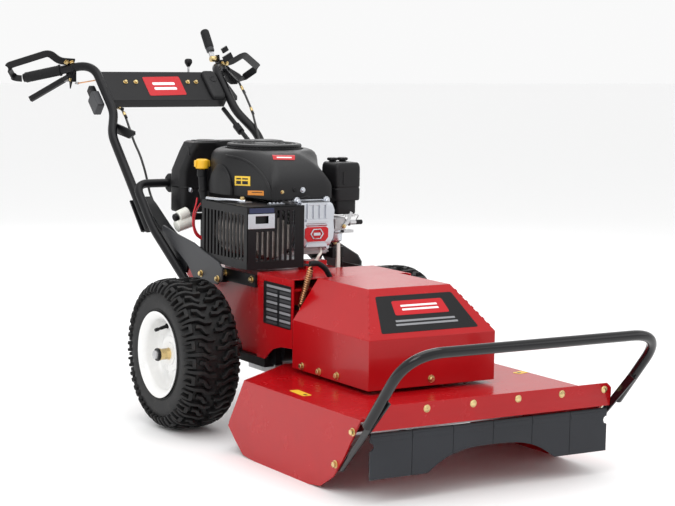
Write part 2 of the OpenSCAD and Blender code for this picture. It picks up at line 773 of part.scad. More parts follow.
module hood_shape(inset, low, rear) {
    hull() {
        translate([-hood_half + inset, hood_front_y + inset, low])
            cube([hood_w - 2 * inset, hood_rear_y - hood_front_y - inset + rear, hood_crease_z - low]);
        translate([-hood_top_w / 2 + inset / 2, -617 + inset / 2, hood_top_z - 1 - inset])
            cube([hood_top_w - inset, 617 - 368 - inset / 2 + rear, 1]);
    }
}
module deck_hood() {
    color(red) at_axle() difference() {
        hood_shape(0, hood_low_z, 0);
        hood_shape(4, hood_low_z - 1, 20);
    }
    // Feet that hold the hood just clear of the deck
    color(black) at_axle() both_sides() for (y = [-700, -380])
        translate([hood_half - 34, y - 10, deck_top_z + 0.1]) cube([30.2, 20, 20]);
}
bumper_foot = [377, -1016, 196];
bumper_corner = [377, -bumper_front, 390];
bumper_mid = [0, -bumper_front, 390];
module bumper() {
    color(black) at_axle() {
        swept(concat([bumper_foot], bend_points(bumper_foot, bumper_corner, bumper_mid, 100, 8),
                     bend_points(bumper_mid, flipped(bumper_corner), flipped(bumper_foot), 100, 8),
                     [flipped(bumper_foot)]), bumper_r, 16);
        // Flat arms that run down inside the deck's side plates
        both_sides() plate_yz([[-868, 56], [-894, 62], [-1096, 262], [-1072, 272]],
                              deck_half - deck_t - 6, deck_half - deck_t - 0.1);
    }
}
module deck_bolts() {
    hood_bolts = [[-404, 226], [-492, 226], [-582, 230]];
    color(zinc) at_axle() {
        for (i = [0 : 5]) bolt_front(-340 + 136 * i, -1008, 222, 8);
        bolt_front(-5, hood_front_y, 232, 8);
        both_sides() {
            for (b = hood_bolts) bolt_x(hood_half, b[0], b[1], 8, 1);
            bolt_x(deck_half, -949, 170, 8, 1);
            bolt_x(deck_half, -872, 76, 8, 1);
        }
    }
}
module spindle_housing() {
    color(black) at_axle() translate([0, -spindle_y, 0]) difference() {
        union() {
            translate([0, 0, 130]) cylinder(r = 44, h = 150);
            translate([0, 0, deck_top_z + 0.1]) cylinder(r = 80, h = 9);
        }
        translate([0, 0, 120]) cylinder(r = shaft_r + run_gap, h = 200);
    }
}
module pivot_bracket() {
    color(black) at_axle() difference() {
        union() {
            plate_xz([[-60, deck_top_z + 0.1], [60, deck_top_z + 0.1], [34, 286], [-34, 286]],
                     -392, -366);
            both_sides() translate([44, -440, deck_top_z + 0.1]) cube([8, 90, 24]);
        }
        rod_y(0, -393, -365, pivot_z, 20);
    }
}
module blade() {
    color(steel) at_axle() translate([0, -spindle_y, blade_z]) difference() {
        translate([-blade_len / 2, -38, 0]) cube([blade_len, 76, 8]);
        translate([0, 0, -1]) cylinder(r = shaft_r + 0.1, h = 12);
        // Ground cutting edges, on opposite sides of the two ends
        for (a = [0, 180]) rotate(a) translate([blade_len / 2 - 150, 38, 9])
            rotate([0, 90, 0]) cylinder(r = 11, h = 200, $fn = 4);
    }
}
// One hanging panel. The six lower edges form an arch, flat at both ends
function flap_edge(x) = let (t = min(1, abs(x) / arch_half)) flap_low_z + arch_rise * (1 - t * t * t);
module flap(i) {
    x0 = -lip_half + 5 + (i - 1) * flap_pitch + 0.6;
    x1 = x0 + flap_pitch - 1.2;
    steps = 6;
    low = [for (k = [0 : steps]) let (x = x0 + (x1 - x0) * k / steps) [x, flap_edge(x)]];
    color(charcoal) at_axle() {
        difference() {
            plate_xz(concat(low, [[x1, flap_hinge_z], [x0, flap_hinge_z]]),
                     flap_y - flap_t / 2, flap_y + flap_t / 2);
            // Round notches in the outermost edges
            for (side = [-1, 1]) rod_y(side * (lip_half - 6), flap_y - 10, flap_y + 10, 141, 11);
        }
        rod_x(x0, x1, flap_y, flap_hinge_z, flap_t / 2);
    }
}

frame_shell();
engine_plate();
lower_frame();
transaxle();
gusset_plates();
side_brackets();
chassis_bolts();
mirror([1, 0, 0]) handle_tube();  // handle_tube_right
handle_tube();  // handle_tube_left
cross_tube();
console_panel();
control_pod();
mirror([1, 0, 0]) hand_grip();  // grip_right
hand_grip();  // grip_left
mirror([1, 0, 0]) hand_guard();  // hand_guard_right
hand_guard();  // hand_guard_left
control_cables();
tension_spring();
engine_block();
cylinder_head();
valve_cover();
blower_housing();
fan_screen();
muffler();
muffler_guard();
air_cleaner();
carburettor();
oil_fill_tube();
fuel_tank();
vent_canister();
belt();
fuel_cap();
dipstick();
clutch_lever();
mirror([1, 0, 0]) presence_lever();  // presence_lever_right
presence_lever();  // presence_lever_left
throttle_lever();
mirror([1, 0, 0]) at_axle() tyre();  // tyre_right
mirror([1, 0, 0]) at_axle() rim();  // rim_right
mirror([1, 0, 0]) at_axle() axle_hub();  // axle_hub_right
at_axle() tyre();  // tyre_left
at_axle() rim();  // rim_left
at_axle() axle_hub();  // axle_hub_left
deck_shell();
deck_hood();
front_lip();
bumper();
deck_bolts();
spindle_housing();
pivot_bracket();
spindle();
blade();
crankshaft();
flap(1);  // flap_1
flap(2);  // flap_2
flap(3);  // flap_3
flap(4);  // flap_4
flap(5);  // flap_5
flap(6);  // flap_6
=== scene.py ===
"""Looks for the brush mower. Every piece is made here, in millimetres from the axle's centre
on the ground line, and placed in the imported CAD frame. The front of the machine is -Y."""
import math

import bmesh
import bpy
from mathutils import Matrix, Vector


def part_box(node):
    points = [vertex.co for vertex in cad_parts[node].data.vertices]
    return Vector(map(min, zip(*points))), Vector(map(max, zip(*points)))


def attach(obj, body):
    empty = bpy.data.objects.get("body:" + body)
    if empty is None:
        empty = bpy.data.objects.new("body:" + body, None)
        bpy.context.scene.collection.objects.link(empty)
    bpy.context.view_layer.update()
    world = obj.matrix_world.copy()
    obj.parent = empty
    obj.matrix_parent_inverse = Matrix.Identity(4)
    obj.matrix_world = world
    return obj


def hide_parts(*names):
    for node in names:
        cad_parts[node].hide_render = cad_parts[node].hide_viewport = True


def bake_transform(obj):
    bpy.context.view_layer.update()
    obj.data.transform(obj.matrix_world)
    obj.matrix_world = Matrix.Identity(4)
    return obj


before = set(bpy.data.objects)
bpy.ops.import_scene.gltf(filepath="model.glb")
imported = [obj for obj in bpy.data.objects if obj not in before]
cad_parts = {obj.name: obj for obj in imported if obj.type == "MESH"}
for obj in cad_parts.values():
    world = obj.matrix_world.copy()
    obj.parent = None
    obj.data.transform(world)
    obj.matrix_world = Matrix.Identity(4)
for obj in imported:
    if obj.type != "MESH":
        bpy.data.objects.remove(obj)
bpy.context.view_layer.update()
scene = bpy.context.scene
TAU = 2 * math.pi
MM = 0.001
UP = (0, 0, 1)

rim_low, rim_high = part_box("rim_left")
AXLE_Y = (rim_low.y + rim_high.y) / 2
AXLE_Z = (rim_low.z + rim_high.z) / 2 / MM


def place(x, y, z):
    """A point given in millimetres from the axle, in the row frame."""
    return Vector((x * MM, y * MM + AXLE_Y, z * MM))


# ------------------------------------------------------------------ camera, lights, floor
CAMERA_AT = (-2718, -4674, 1114)
YAW, PITCH, ROLL = math.radians(31.6), math.radians(-6.7), math.radians(1.0)
LENS, SENSOR = 100.7, 36
WORLD_STRENGTH = 0.95
FLOOR_HALF, FLOOR_GREY = 30, 0.96
# Name, place, aim, size in metres and power in watts
LIGHTS = (("key", (-3.2, -2.6, 3.6), (0, -0.2, 0.4), (2.4, 2.4), 62),
          ("fill", (3.4, -3.4, 2.2), (0, -0.3, 0.4), (2.6, 2.0), 12),
          ("top", (0, -0.4, 4.2), (0, -0.3, 0), (3.4, 3.4), 60),
          ("rim", (1.5, 4.2, 2.6), (0, 0.2, 0.5), (3, 1.6), 30))


def make_camera():
    data = bpy.data.cameras.new("camera")
    data.sensor_width = SENSOR
    data.lens = LENS
    camera = bpy.data.objects.new("camera", data)
    scene.collection.objects.link(camera)
    ahead = Vector((math.sin(YAW) * math.cos(PITCH), math.cos(YAW) * math.cos(PITCH),
                    math.sin(PITCH)))
    right = ahead.cross(Vector(UP)).normalized()
    up = right.cross(ahead)
    tilted_right = right * math.cos(ROLL) + up * math.sin(ROLL)
    tilted_up = up * math.cos(ROLL) - right * math.sin(ROLL)
    turn = Matrix((tilted_right, tilted_up, -ahead)).transposed()
    camera.matrix_world = Matrix.Translation(place(*CAMERA_AT)) @ turn.to_4x4()
    scene.camera = camera


def make_light(name, at, aim, size, power):
    data = bpy.data.lights.new(name, "AREA")
    data.shape = "RECTANGLE"
    data.size, data.size_y = size
    data.energy = power
    lamp = bpy.data.objects.new(name, data)
    lamp.location = at
    lamp.rotation_euler = (Vector(aim) - Vector(at)).to_track_quat("-Z", "Y").to_euler()
    scene.collection.objects.link(lamp)


def make_studio():
    world = bpy.data.worlds.new("studio")
    world.use_nodes = True
    background = world.node_tree.nodes["Background"]
    background.inputs["Color"].default_value = (1, 1, 1, 1)
    background.inputs["Strength"].default_value = WORLD_STRENGTH
    scene.world = world
    scene.view_settings.view_transform = "Standard"
    for light in LIGHTS:
        make_light(*light)


def make_floor():
    mesh = bpy.data.meshes.new("floor")
    mesh.from_pydata([(x * FLOOR_HALF, y * FLOOR_HALF, 0)
                      for x, y in ((-1, -1), (1, -1), (1, 1), (-1, 1))], [], [(0, 1, 2, 3)])
    floor = bpy.data.objects.new("floor", mesh)
    scene.collection.objects.link(floor)
    paint = bpy.data.materials.new("floor_paint")
    paint.use_nodes = True
    shader = paint.node_tree.nodes["Principled BSDF"]
    shader.inputs["Base Color"].default_value = (FLOOR_GREY, FLOOR_GREY, FLOOR_GREY, 1)
    shader.inputs["Roughness"].default_value = 0.6
    floor.data.materials.append(paint)


# ------------------------------------------------------------------ materials
def node(tree, kind, **values):
    """A shader node with its settings, and its inputs with underscores for spaces."""
    made = tree.nodes.new(kind)
    for key, value in values.items():
        if hasattr(made, key):
            setattr(made, key, value)
        else:
            made.inputs[key.replace("_", " ")].default_value = value
    return made


SPECK_COLOUR = (0.16, 0.13, 0.1, 1)


def finish(name, colour, rough, metal=0.0, coat=0.0, coat_rough=0.08, grain=0.0,
           grain_size=400, mottle=0.12, mottle_size=9, rough_spread=0.1,
           specular=0.5, streak=None, dirt=0.0):
    """A principled finish whose colour, roughness and fine relief all vary by 3-D noise."""
    made = bpy.data.materials.new(name)
    made.use_nodes = True
    tree = made.node_tree
    link = tree.links.new
    shader = tree.nodes["Principled BSDF"]
    for socket, value in (("Metallic", metal), ("Coat Weight", coat),
                          ("Coat Roughness", coat_rough), ("Specular IOR Level", specular)):
        shader.inputs[socket].default_value = value
    where = node(tree, "ShaderNodeTexCoord").outputs["Object"]
    spot = where
    if streak:
        stretch = node(tree, "ShaderNodeMapping", Scale=streak)
        link(spot, stretch.inputs["Vector"])
        spot = stretch.outputs["Vector"]
    broad = node(tree, "ShaderNodeTexNoise", Scale=mottle_size, Detail=5.0, Roughness=0.6)
    link(spot, broad.inputs["Vector"])
    ramp = node(tree, "ShaderNodeValToRGB")
    for stop, at, share in zip(ramp.color_ramp.elements, (0.3, 0.72), (1 - mottle, 1 + mottle)):
        stop.position = at
        stop.color = [min(1, c * share) for c in colour] + [1]
    link(broad.outputs["Fac"], ramp.inputs["Fac"])
    base = ramp.outputs["Color"]
    if dirt:
        specks = node(tree, "ShaderNodeTexNoise", Scale=60.0, Detail=8.0, Roughness=0.7)
        link(where, specks.inputs["Vector"])
        limit = node(tree, "ShaderNodeMapRange", From_Min=0.52, From_Max=0.75, To_Max=dirt)
        link(specks.outputs["Fac"], limit.inputs["Value"])
        mix = node(tree, "ShaderNodeMix", data_type="RGBA")
        mix.inputs[7].default_value = SPECK_COLOUR
        link(limit.outputs["Result"], mix.inputs[0])
        link(base, mix.inputs[6])
        base = mix.outputs[2]
    link(base, shader.inputs["Base Color"])
    fine = node(tree, "ShaderNodeTexNoise", Scale=float(grain_size), Detail=3.0)
    link(spot, fine.inputs["Vector"])
    spread = node(tree, "ShaderNodeMapRange", To_Min=max(0.02, rough - rough_spread),
                  To_Max=min(1, rough + rough_spread))
    link(broad.outputs["Fac"], spread.inputs["Value"])
    link(spread.outputs["Result"], shader.inputs["Roughness"])
    bump = node(tree, "ShaderNodeBump", Strength=grain, Distance=0.0006)
    link(fine.outputs["Fac"], bump.inputs["Height"])
    link(bump.outputs["Normal"], shader.inputs["Normal"])
    return made


RED = finish("red_powder_coat", (0.40, 0.003, 0.006), 0.26, coat=0.15, coat_rough=0.05,
             specular=0.25, grain=0.05, grain_size=260, mottle=0.05, rough_spread=0.05)
BLACK = finish("black_powder_coat", (0.006, 0.006, 0.007), 0.36, specular=0.22, grain=0.12,
               grain_size=700)
GLOSS_BLACK = finish("gloss_black_coat", (0.004, 0.004, 0.005), 0.16, coat=0.4, specular=0.2,
                     grain=0.03, grain_size=200)
GREY = finish("grey_coat", (0.045, 0.046, 0.05), 0.4, specular=0.3, grain=0.1, grain_size=600)
GUARD = finish("heat_proof_coat", (0.010, 0.010, 0.011), 0.5, specular=0.25, grain=0.25,
               grain_size=900)
WHITE = finish("white_coat", (0.83, 0.83, 0.82), 0.3, coat=0.4, grain=0.04, grain_size=240,
               mottle=0.03, dirt=0.05)
ZINC = finish("yellow_zinc", (0.66, 0.50, 0.24), 0.28, metal=1.0, grain=0.15, grain_size=500,
              mottle=0.35, mottle_size=60)
STEEL = finish("machined_steel", (0.55, 0.55, 0.56), 0.32, metal=1.0, grain=0.2,
               grain_size=500, streak=(1, 1, 6))
COPPER = finish("copper_plate", (0.62, 0.33, 0.17), 0.32, metal=1.0, grain=0.1, mottle=0.3,
                mottle_size=40)
EXHAUST = finish("exhaust_steel", (0.34, 0.31, 0.29), 0.42, metal=1.0, grain=0.3,
                 grain_size=300, mottle=0.4, mottle_size=18)
ALLOY = finish("cast_alloy", (0.46, 0.46, 0.47), 0.5, metal=0.9, grain=0.6, grain_size=450,
               mottle=0.2, mottle_size=30)
BRIGHT = finish("bright_alloy", (0.55, 0.57, 0.61), 0.28, metal=1.0, grain=0.25,
                grain_size=500, mottle=0.08)
PLASTIC = finish("charcoal_plastic", (0.010, 0.010, 0.011), 0.42, specular=0.25, grain=0.35,
                 grain_size=1100, mottle=0.1)
DARK_PLASTIC = finish("black_plastic", (0.006, 0.006, 0.007), 0.36, specular=0.25, grain=0.3,
                      grain_size=1100)
MILKY = finish("milky_plastic", (0.80, 0.80, 0.74), 0.35, grain=0.1, mottle=0.06,
               mottle_size=20)
YELLOW = finish("yellow_plastic", (0.85, 0.47, 0.02), 0.35, grain=0.1, mottle=0.06)
RUBBER = finish("grip_rubber", (0.008, 0.008, 0.009), 0.6, specular=0.25, grain=0.5,
                grain_size=800)
FLAP = finish("flap_rubber", (0.024, 0.026, 0.031), 0.6, specular=0.3, grain=0.45,
              grain_size=500, mottle=0.12)
TYRE = finish("tyre_rubber", (0.008, 0.008, 0.0085), 0.55, specular=0.3, grain=0.5,
              grain_size=420, mottle=0.25, mottle_size=25, dirt=0.12)
SHEATH = finish("cable_sheath", (0.012, 0.012, 0.012), 0.4, grain=0.3, grain_size=900)
RED_WIRE = finish("red_wire", (0.55, 0.01, 0.02), 0.35, grain=0.1)
BADGE_RED = finish("badge_red", (0.5, 0.008, 0.014), 0.3, specular=0.3, mottle=0.03)
BADGE_WHITE = finish("badge_white", (0.85, 0.85, 0.85), 0.35, mottle=0.03)
DECAL_BLACK = finish("decal_black", (0.006, 0.006, 0.007), 0.3, specular=0.25, mottle=0.05)
DECAL_YELLOW = finish("decal_yellow", (0.80, 0.52, 0.03), 0.4, mottle=0.05)
DECAL_ORANGE = finish("decal_orange", (0.80, 0.28, 0.03), 0.4, mottle=0.05)
DECAL_GREY = finish("decal_grey", (0.24, 0.245, 0.26), 0.4, mottle=0.05)
NAVY = finish("navy_decal", (0.012, 0.02, 0.07), 0.35, mottle=0.05)


# ------------------------------------------------------------------ mesh building
def unit(v):
    return Vector(v).normalized()


def curve(a, b, c, shares):
    """Points of the bend from a to c that b pulls on."""
    return [a * (1 - t) ** 2 + b * 2 * t * (1 - t) + c * t ** 2 for t in shares]


def bent(points, reaches, steps=10):
    """A route whose corners each have a bend that starts its own reach before the corner."""
    points = [Vector(p) for p in points]
    route = [points[0]]
    for a, b, c, reach in zip(points, points[1:], points[2:], reaches):
        shares = [i / steps for i in range(steps + 1)]
        route += curve(b + unit(a - b) * reach, b, b + unit(c - b) * reach, shares)
    return route + [points[-1]]


def rounded(points, reach, steps=6):
    """A bent route with one reach for all its corners, less where its runs are short."""
    points = [Vector(p) for p in points]
    runs = [(a - b).length * 0.49 for a, b in zip(points, points[1:])]
    return bent(points, [min(reach, *pair) for pair in zip(runs, runs[1:])], steps)


def steps_between(start, end, count):
    """Evenly spaced values from start to end, both included."""
    return [start + (end - start) * i / count for i in range(count + 1)]


def circle(count, start=0.0):
    """Evenly spaced angles round a full turn."""
    return [start + TAU * k / count for k in range(count)]


class Piece:
    """Gathers shapes in millimetres from the axle, then becomes one object."""

    def __init__(self):
        self.mesh = bmesh.new()
        self.slots = []

    def slot(self, paint):
        if paint not in self.slots:
            self.slots.append(paint)
        return self.slots.index(paint)

    def faces(self, corners, faces, paint):
        verts = [self.mesh.verts.new(c) for c in corners]
        index = self.slot(paint)
        for f in faces:
            self.mesh.faces.new([verts[i] for i in f]).material_index = index

    def rings(self, rings, paint, closed=False, round_each=True):
        """Joins rings of equal length into a skin."""
        count = len(rings[0])
        flat = [p for ring in rings for p in ring]
        faces = []
        last = len(rings) if closed else len(rings) - 1
        for i in range(last):
            a, b = i * count, (i + 1) % len(rings) * count
            for k in range(count if round_each else count - 1):
                n = (k + 1) % count
                faces.append((a + k, b + k, b + n, a + n))
        if not closed:
            faces.append(tuple(range(count)))
            faces.append(tuple(range((len(rings) - 1) * count, len(rings) * count))[::-1])
        self.faces(flat, faces, paint)

    def box(self, low, high, paint, taper=0.0):
        """A block whose top is smaller by taper all round."""
        (x0, y0, z0), (x1, y1, z1) = low, high
        self.rings([[(x0 + t, y0 + t, z), (x1 - t, y0 + t, z), (x1 - t, y1 - t, z),
                     (x0 + t, y1 - t, z)] for z, t in ((z0, 0), (z1, taper))], paint)

    def prism(self, outline, axis, low, high, paint):
        """An outline in the other two axes, in X, Y, Z order, pushed along axis."""
        def point(p, w):
            at = list(p)
            at.insert("xyz".index(axis), w)
            return at
        self.rings([[point(p, low) for p in outline], [point(p, high) for p in outline]], paint)

    def hull(self, corners, paint):
        verts = [self.mesh.verts.new(c) for c in corners]
        made = bmesh.ops.convex_hull(self.mesh, input=verts)
        index = self.slot(paint)
        for item in made["geom"]:
            if isinstance(item, bmesh.types.BMFace):
                item.material_index = index
        spare = [v for v in made["geom_interior"] + made["geom_unused"]
                 if isinstance(v, bmesh.types.BMVert)]
        bmesh.ops.delete(self.mesh, geom=list(set(spare)), context="VERTS")

    def lathe(self, profile, at, along, paint, steps=48, closed=False):
        """Turns (radius, height) points about a line from at towards along."""
        along = unit(along)
        side = unit(along.orthogonal())
        other = along.cross(side)
        at = Vector(at)
        rings = []
        for a in circle(steps):
            out = side * math.cos(a) + other * math.sin(a)
            rings.append([at + out * r + along * h for r, h in profile])
        self.rings(rings, paint, closed=True, round_each=closed)
        if not closed:
            for end in (0, -1):
                r, h = profile[end]
                if r > 0.01:
                    ring = [ring[end] for ring in rings]
                    self.faces(ring, [tuple(range(len(ring)))], paint)

    def rod(self, start, end, radius, paint, steps=24, rim=0.0):
        start, end = Vector(start), Vector(end)
        length = (end - start).length
        e = min(rim, radius * 0.5, length * 0.4)
        profile = [(radius - e, 0), (radius, e), (radius, length - e), (radius - e, length)]
        if not e:
            profile = [(radius, 0), (radius, length)]
        self.lathe(profile, start, end - start, paint, steps)

    def tube(self, route, radius, paint, sides=16, flat=1.0):
        """Sweeps a round (or flattened) section along a route."""
        route = [Vector(p) for p in route]
        ways = [unit(route[min(i + 1, len(route) - 1)] - route[max(i - 1, 0)])
                for i in range(len(route))]
        across = unit(ways[0].orthogonal() if abs(ways[0].z) > 0.95
                      else ways[0].cross(Vector(UP)))
        rings = []
        for p, way in zip(route, ways):
            across = unit(across - way * across.dot(way))
            up = way.cross(across)
            rings.append([p + across * radius * math.cos(a) + up * radius * flat * math.sin(a)
                          for a in circle(sides)])
        self.rings(rings, paint)

    def strap(self, route, width_way, width, thick, paint):
        """A flat bar along a route, its width lying along width_way."""
        route = [Vector(p) for p in route]
        rings = []
        for i, p in enumerate(route):
            way = unit(route[min(i + 1, len(route) - 1)] - route[max(i - 1, 0)])
            wide = unit(Vector(width_way) - way * way.dot(Vector(width_way))) * width / 2
            deep = unit(way.cross(wide)) * thick / 2
            rings.append([p + wide + deep, p + wide - deep, p - wide - deep, p - wide + deep])
        self.rings(rings, paint)

    def bolt(self, at, out, radius, paint, washer=True):
        """A hexagon head on a washer, standing out of a surface."""
        at, out = Vector(at), unit(out)
        if washer:
            self.rod(at, at + out * 1.8, radius * 1.35, paint, 24, 0.4)
        side = unit(out.orthogonal())
        other = out.cross(side)

        def ring(r, h):
            return [at + out * h + (side * math.cos(a) + other * math.sin(a)) * r
                    for a in circle(6, 0.3)]
        top = 1.8 + radius * 0.75
        self.rings([ring(radius, 1.6), ring(radius, top), ring(radius * 0.82, top + 1.2)], paint)

    def dome(self, at, out, radius, height, paint):
        """A round head, as on a carriage bolt."""
        profile = [(radius, 0)] + [(radius * math.cos(a), height * math.sin(a))
                                   for a in (0.4, 0.8, 1.2)] + [(0.001, height)]
        self.lathe(profile, at, out, paint, 20)

    def build(self, name, angle=40):
        """Turns what was gathered into one object in the row frame."""
        bmesh.ops.remove_doubles(self.mesh, verts=self.mesh.verts, dist=1e-4)
        bmesh.ops.recalc_face_normals(self.mesh, faces=self.mesh.faces)
        for v in self.mesh.verts:
            v.co = place(*v.co)
        mesh = bpy.data.meshes.new(name)
        self.mesh.to_mesh(mesh)
        self.mesh.free()
        for paint in self.slots:
            mesh.materials.append(paint)
        mesh.shade_smooth()
        mesh.set_sharp_from_angle(angle=math.radians(angle))
        made = bpy.data.objects.new(name, mesh)
        scene.collection.objects.link(made)
        return made

    def done(self, name, body, bevel=0.0, segments=2, angle=35, stands_for=()):
        """Builds the piece, rounds its edges and lets it ride on a CAD body."""
        made = self.build(name, angle)
        if bevel:
            round_edges(made, bevel, segments, angle)
        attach(made, body)
        if stands_for:
            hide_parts(*stands_for)


def round_edges(part, bevel, segments, angle):
    edge = part.modifiers.new("edge", "BEVEL")
    edge.width = bevel * MM
    edge.segments = segments
    edge.limit_method = "ANGLE"
    edge.angle_limit = math.radians(angle)
    edge.harden_normals = False
    return edge


def sided(p, s):
    """A point of the left side (s = 1), or its mirror image (s = -1)."""
    return (p[0] * s, p[1], p[2])


make_camera()
make_studio()
make_floor()


def span(name):
    """A CAD node's lowest and highest corners, in millimetres from the axle."""
    low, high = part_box(name)
    return [Vector((p.x / MM, (p.y - AXLE_Y) / MM, p.z / MM)) for p in (low, high)]


def dress(name, paint, bevel=0.0, segments=2):
    """Gives a carried-over CAD node its finish, and rounds its sharp edges."""
    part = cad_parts[name]
    part.data.materials.clear()
    part.data.materials.append(paint)
    if bevel:
        weld = part.modifiers.new("weld", "WELD")
        weld.merge_threshold = 1e-5
        round_edges(part, bevel, segments, 38).use_clamp_overlap = True
        part.modifiers.new("shade", "WEIGHTED_NORMAL").keep_sharp = False


def perforated(piece, at, wide, tall, thick, holes, paint):
    """A sheet over the rectangle wide by tall, with rectangular holes. at maps (u, v, w)."""
    us = sorted({*wide, *(u for h in holes for u in h[:2])})
    vs = sorted({*tall, *(v for h in holes for v in h[2:])})

    def solid(i, j):
        if not (0 <= i < len(us) - 1 and 0 <= j < len(vs) - 1):
            return False
        u, v = (us[i] + us[i + 1]) / 2, (vs[j] + vs[j + 1]) / 2
        return not any(h[0] < u < h[1] and h[2] < v < h[3] for h in holes)

    verts = {}

    def vert(i, j, w):
        if (i, j, w) not in verts:
            verts[i, j, w] = piece.mesh.verts.new(at(us[i], vs[j], w * thick))
        return verts[i, j, w]

    index = piece.slot(paint)

    def face(*corners):
        piece.mesh.faces.new([vert(*c) for c in corners]).material_index = index

    for i in range(len(us) - 1):
        for j in range(len(vs) - 1):
            if not solid(i, j):
                continue
            face((i, j, 0), (i + 1, j, 0), (i + 1, j + 1, 0), (i, j + 1, 0))
            face((i, j, 1), (i, j + 1, 1), (i + 1, j + 1, 1), (i + 1, j, 1))
            if not solid(i - 1, j):
                face((i, j, 0), (i, j + 1, 0), (i, j + 1, 1), (i, j, 1))
            if not solid(i + 1, j):
                face((i + 1, j, 0), (i + 1, j, 1), (i + 1, j + 1, 1), (i + 1, j + 1, 0))
            if not solid(i, j - 1):
                face((i, j, 0), (i, j, 1), (i + 1, j, 1), (i + 1, j, 0))
            if not solid(i, j + 1):
                face((i, j + 1, 0), (i + 1, j + 1, 0), (i + 1, j + 1, 1), (i, j + 1, 1))


def smoothed(points, rounds=2):
    """Cuts the corners of an open outline until it runs smoothly."""
    for _ in range(rounds):
        cut = [points[0]]
        for a, b in zip(points, points[1:]):
            cut.append([p * 0.75 + q * 0.25 for p, q in zip(a, b)])
            cut.append([p * 0.25 + q * 0.75 for p, q in zip(a, b)])
        points = cut + [points[-1]]
    return points


# ------------------------------------------------------------------ wheels
TREAD = smoothed([(0, 197.5), (30, 197), (54, 194.5), (68, 186.5), (77, 171), (79.5, 152),
                  (78, 134), (76, 122), (71, 113), (66, 104.5)])
LUG_PAIRS, LUG_RADIUS = 26, 200
# Each tread block: its path of (across, around) points, width, height and height at the edge
LUGS = [([(2, -6), (22, -7), (40, 3), (60, 4), (80, 4)], 11, 13.5, 4),
        ([(86, 18), (62, 18), (62, 39), (86, 39)], 9.5, 14, 11),
        ([(50, 31), (36, 28), (26, 13), (17, 11)], 11, 13.8, 12)]


def on_tyre(mid, side, s, t, lift):
    """A point s mm from the tread's centre along the profile, t mm round it, lifted by lift."""
    way, left = (1 if s >= 0 else -1), abs(s)
    for (w0, r0), (w1, r1) in zip(TREAD, TREAD[1:]):
        step = math.hypot(w1 - w0, r1 - r0)
        if left <= step:
            break
        left -= step
    k = min(1, left / step)
    nw, nr = -(r1 - r0) / step, (w1 - w0) / step
    w, r = w0 + (w1 - w0) * k + nw * lift, r0 + (r1 - r0) * k + nr * lift
    a = t / LUG_RADIUS
    return (side * (mid + way * w), r * math.sin(a), AXLE_Z + r * math.cos(a))


def lug(piece, mid, side, path, width, height, low):
    """A tread block that follows a path of (s, t) points and gets lower towards its end."""
    dense = []
    for (s0, t0), (s1, t1) in zip(path, path[1:]):
        count = max(1, round(math.hypot(s1 - s0, t1 - t0) / 9))
        dense += [(s0 + (s1 - s0) * k / count, t0 + (t1 - t0) * k / count)
                  for k in range(count)]
    dense.append(path[-1])
    rings = []
    for i, (s, t) in enumerate(dense):
        a, b = dense[max(0, i - 1)], dense[min(len(dense) - 1, i + 1)]
        run = math.hypot(b[0] - a[0], b[1] - a[1])
        ns, nt = -(b[1] - a[1]) / run, (b[0] - a[0]) / run
        h = height + (low - height) * max(0, (abs(s) - 58) / 40)
        foot, top = width / 2 + 1.5, width / 2 - 1.2
        rings.append([on_tyre(mid, side, s + ns * d, t + nt * d, lift)
                      for d, lift in ((-foot, -1), (foot, -1), (top, h), (-top, h))])
    piece.rings(rings, TYRE)


def wheel_middle(node_name):
    """How far a wheel node's middle is from the machine's centre."""
    low, high = span(node_name)
    return abs(low.x + high.x) / 2


def make_tyre(name, side):
    mid = wheel_middle("tyre_" + name)
    centre, outward = (side * mid, 0, AXLE_Z), (side, 0, 0)
    piece = Piece()
    outer = [(r, w) for w, r in TREAD]
    skin = [(r, -w) for r, w in outer[::-1]] + outer[1:]
    inner = [(104.5, 52), (140, 66), (172, 64), (188, 40), (190, 0), (188, -40), (172, -64),
             (140, -66), (104.5, -52)]
    piece.lathe(skin + inner, centre, outward, TYRE, 120, closed=True)
    for bead in (118, 127):
        piece.lathe([(bead - 2, 75.5), (bead - 1, 78.6), (bead + 1, 78.8), (bead + 2, 76)],
                    centre, outward, TYRE, 96, closed=True)
    pitch = TAU * LUG_RADIUS / LUG_PAIRS
    for flank, shift in ((1, 0), (-1, 0.5)):
        for i in range(LUG_PAIRS):
            for route, width, height, low in LUGS:
                lug(piece, mid, side, [(flank * s, pitch * (i + shift) + d) for s, d in route],
                    width, height, low)
    piece.done("tyre_skin_" + name, "wheel_" + name, bevel=1.2, segments=1,
               angle=40, stands_for=["tyre_" + name])


RIM_LIP = [(103.8, 56), (106, 66), (111, 72), (117, 76), (120.6, 79), (120.8, 81.5),
           (119, 82.3), (115, 80.5), (109, 75.5), (102.5, 70)]
RIM_DISH = smoothed([(99.5, 62), (99, 38), (95, 27), (84, 24), (70, 30), (60, 35), (48, 38),
                     (32.5, 38)])
RIM_BACK = [(32.5, 34), (48, 34), (60, 31), (70, 26), (84, 20), (97, 22), (99.6, 10),
            (99.6, -60)]
VALVE_TURN = math.radians(58.5)
VALVE_RADIUS = 84


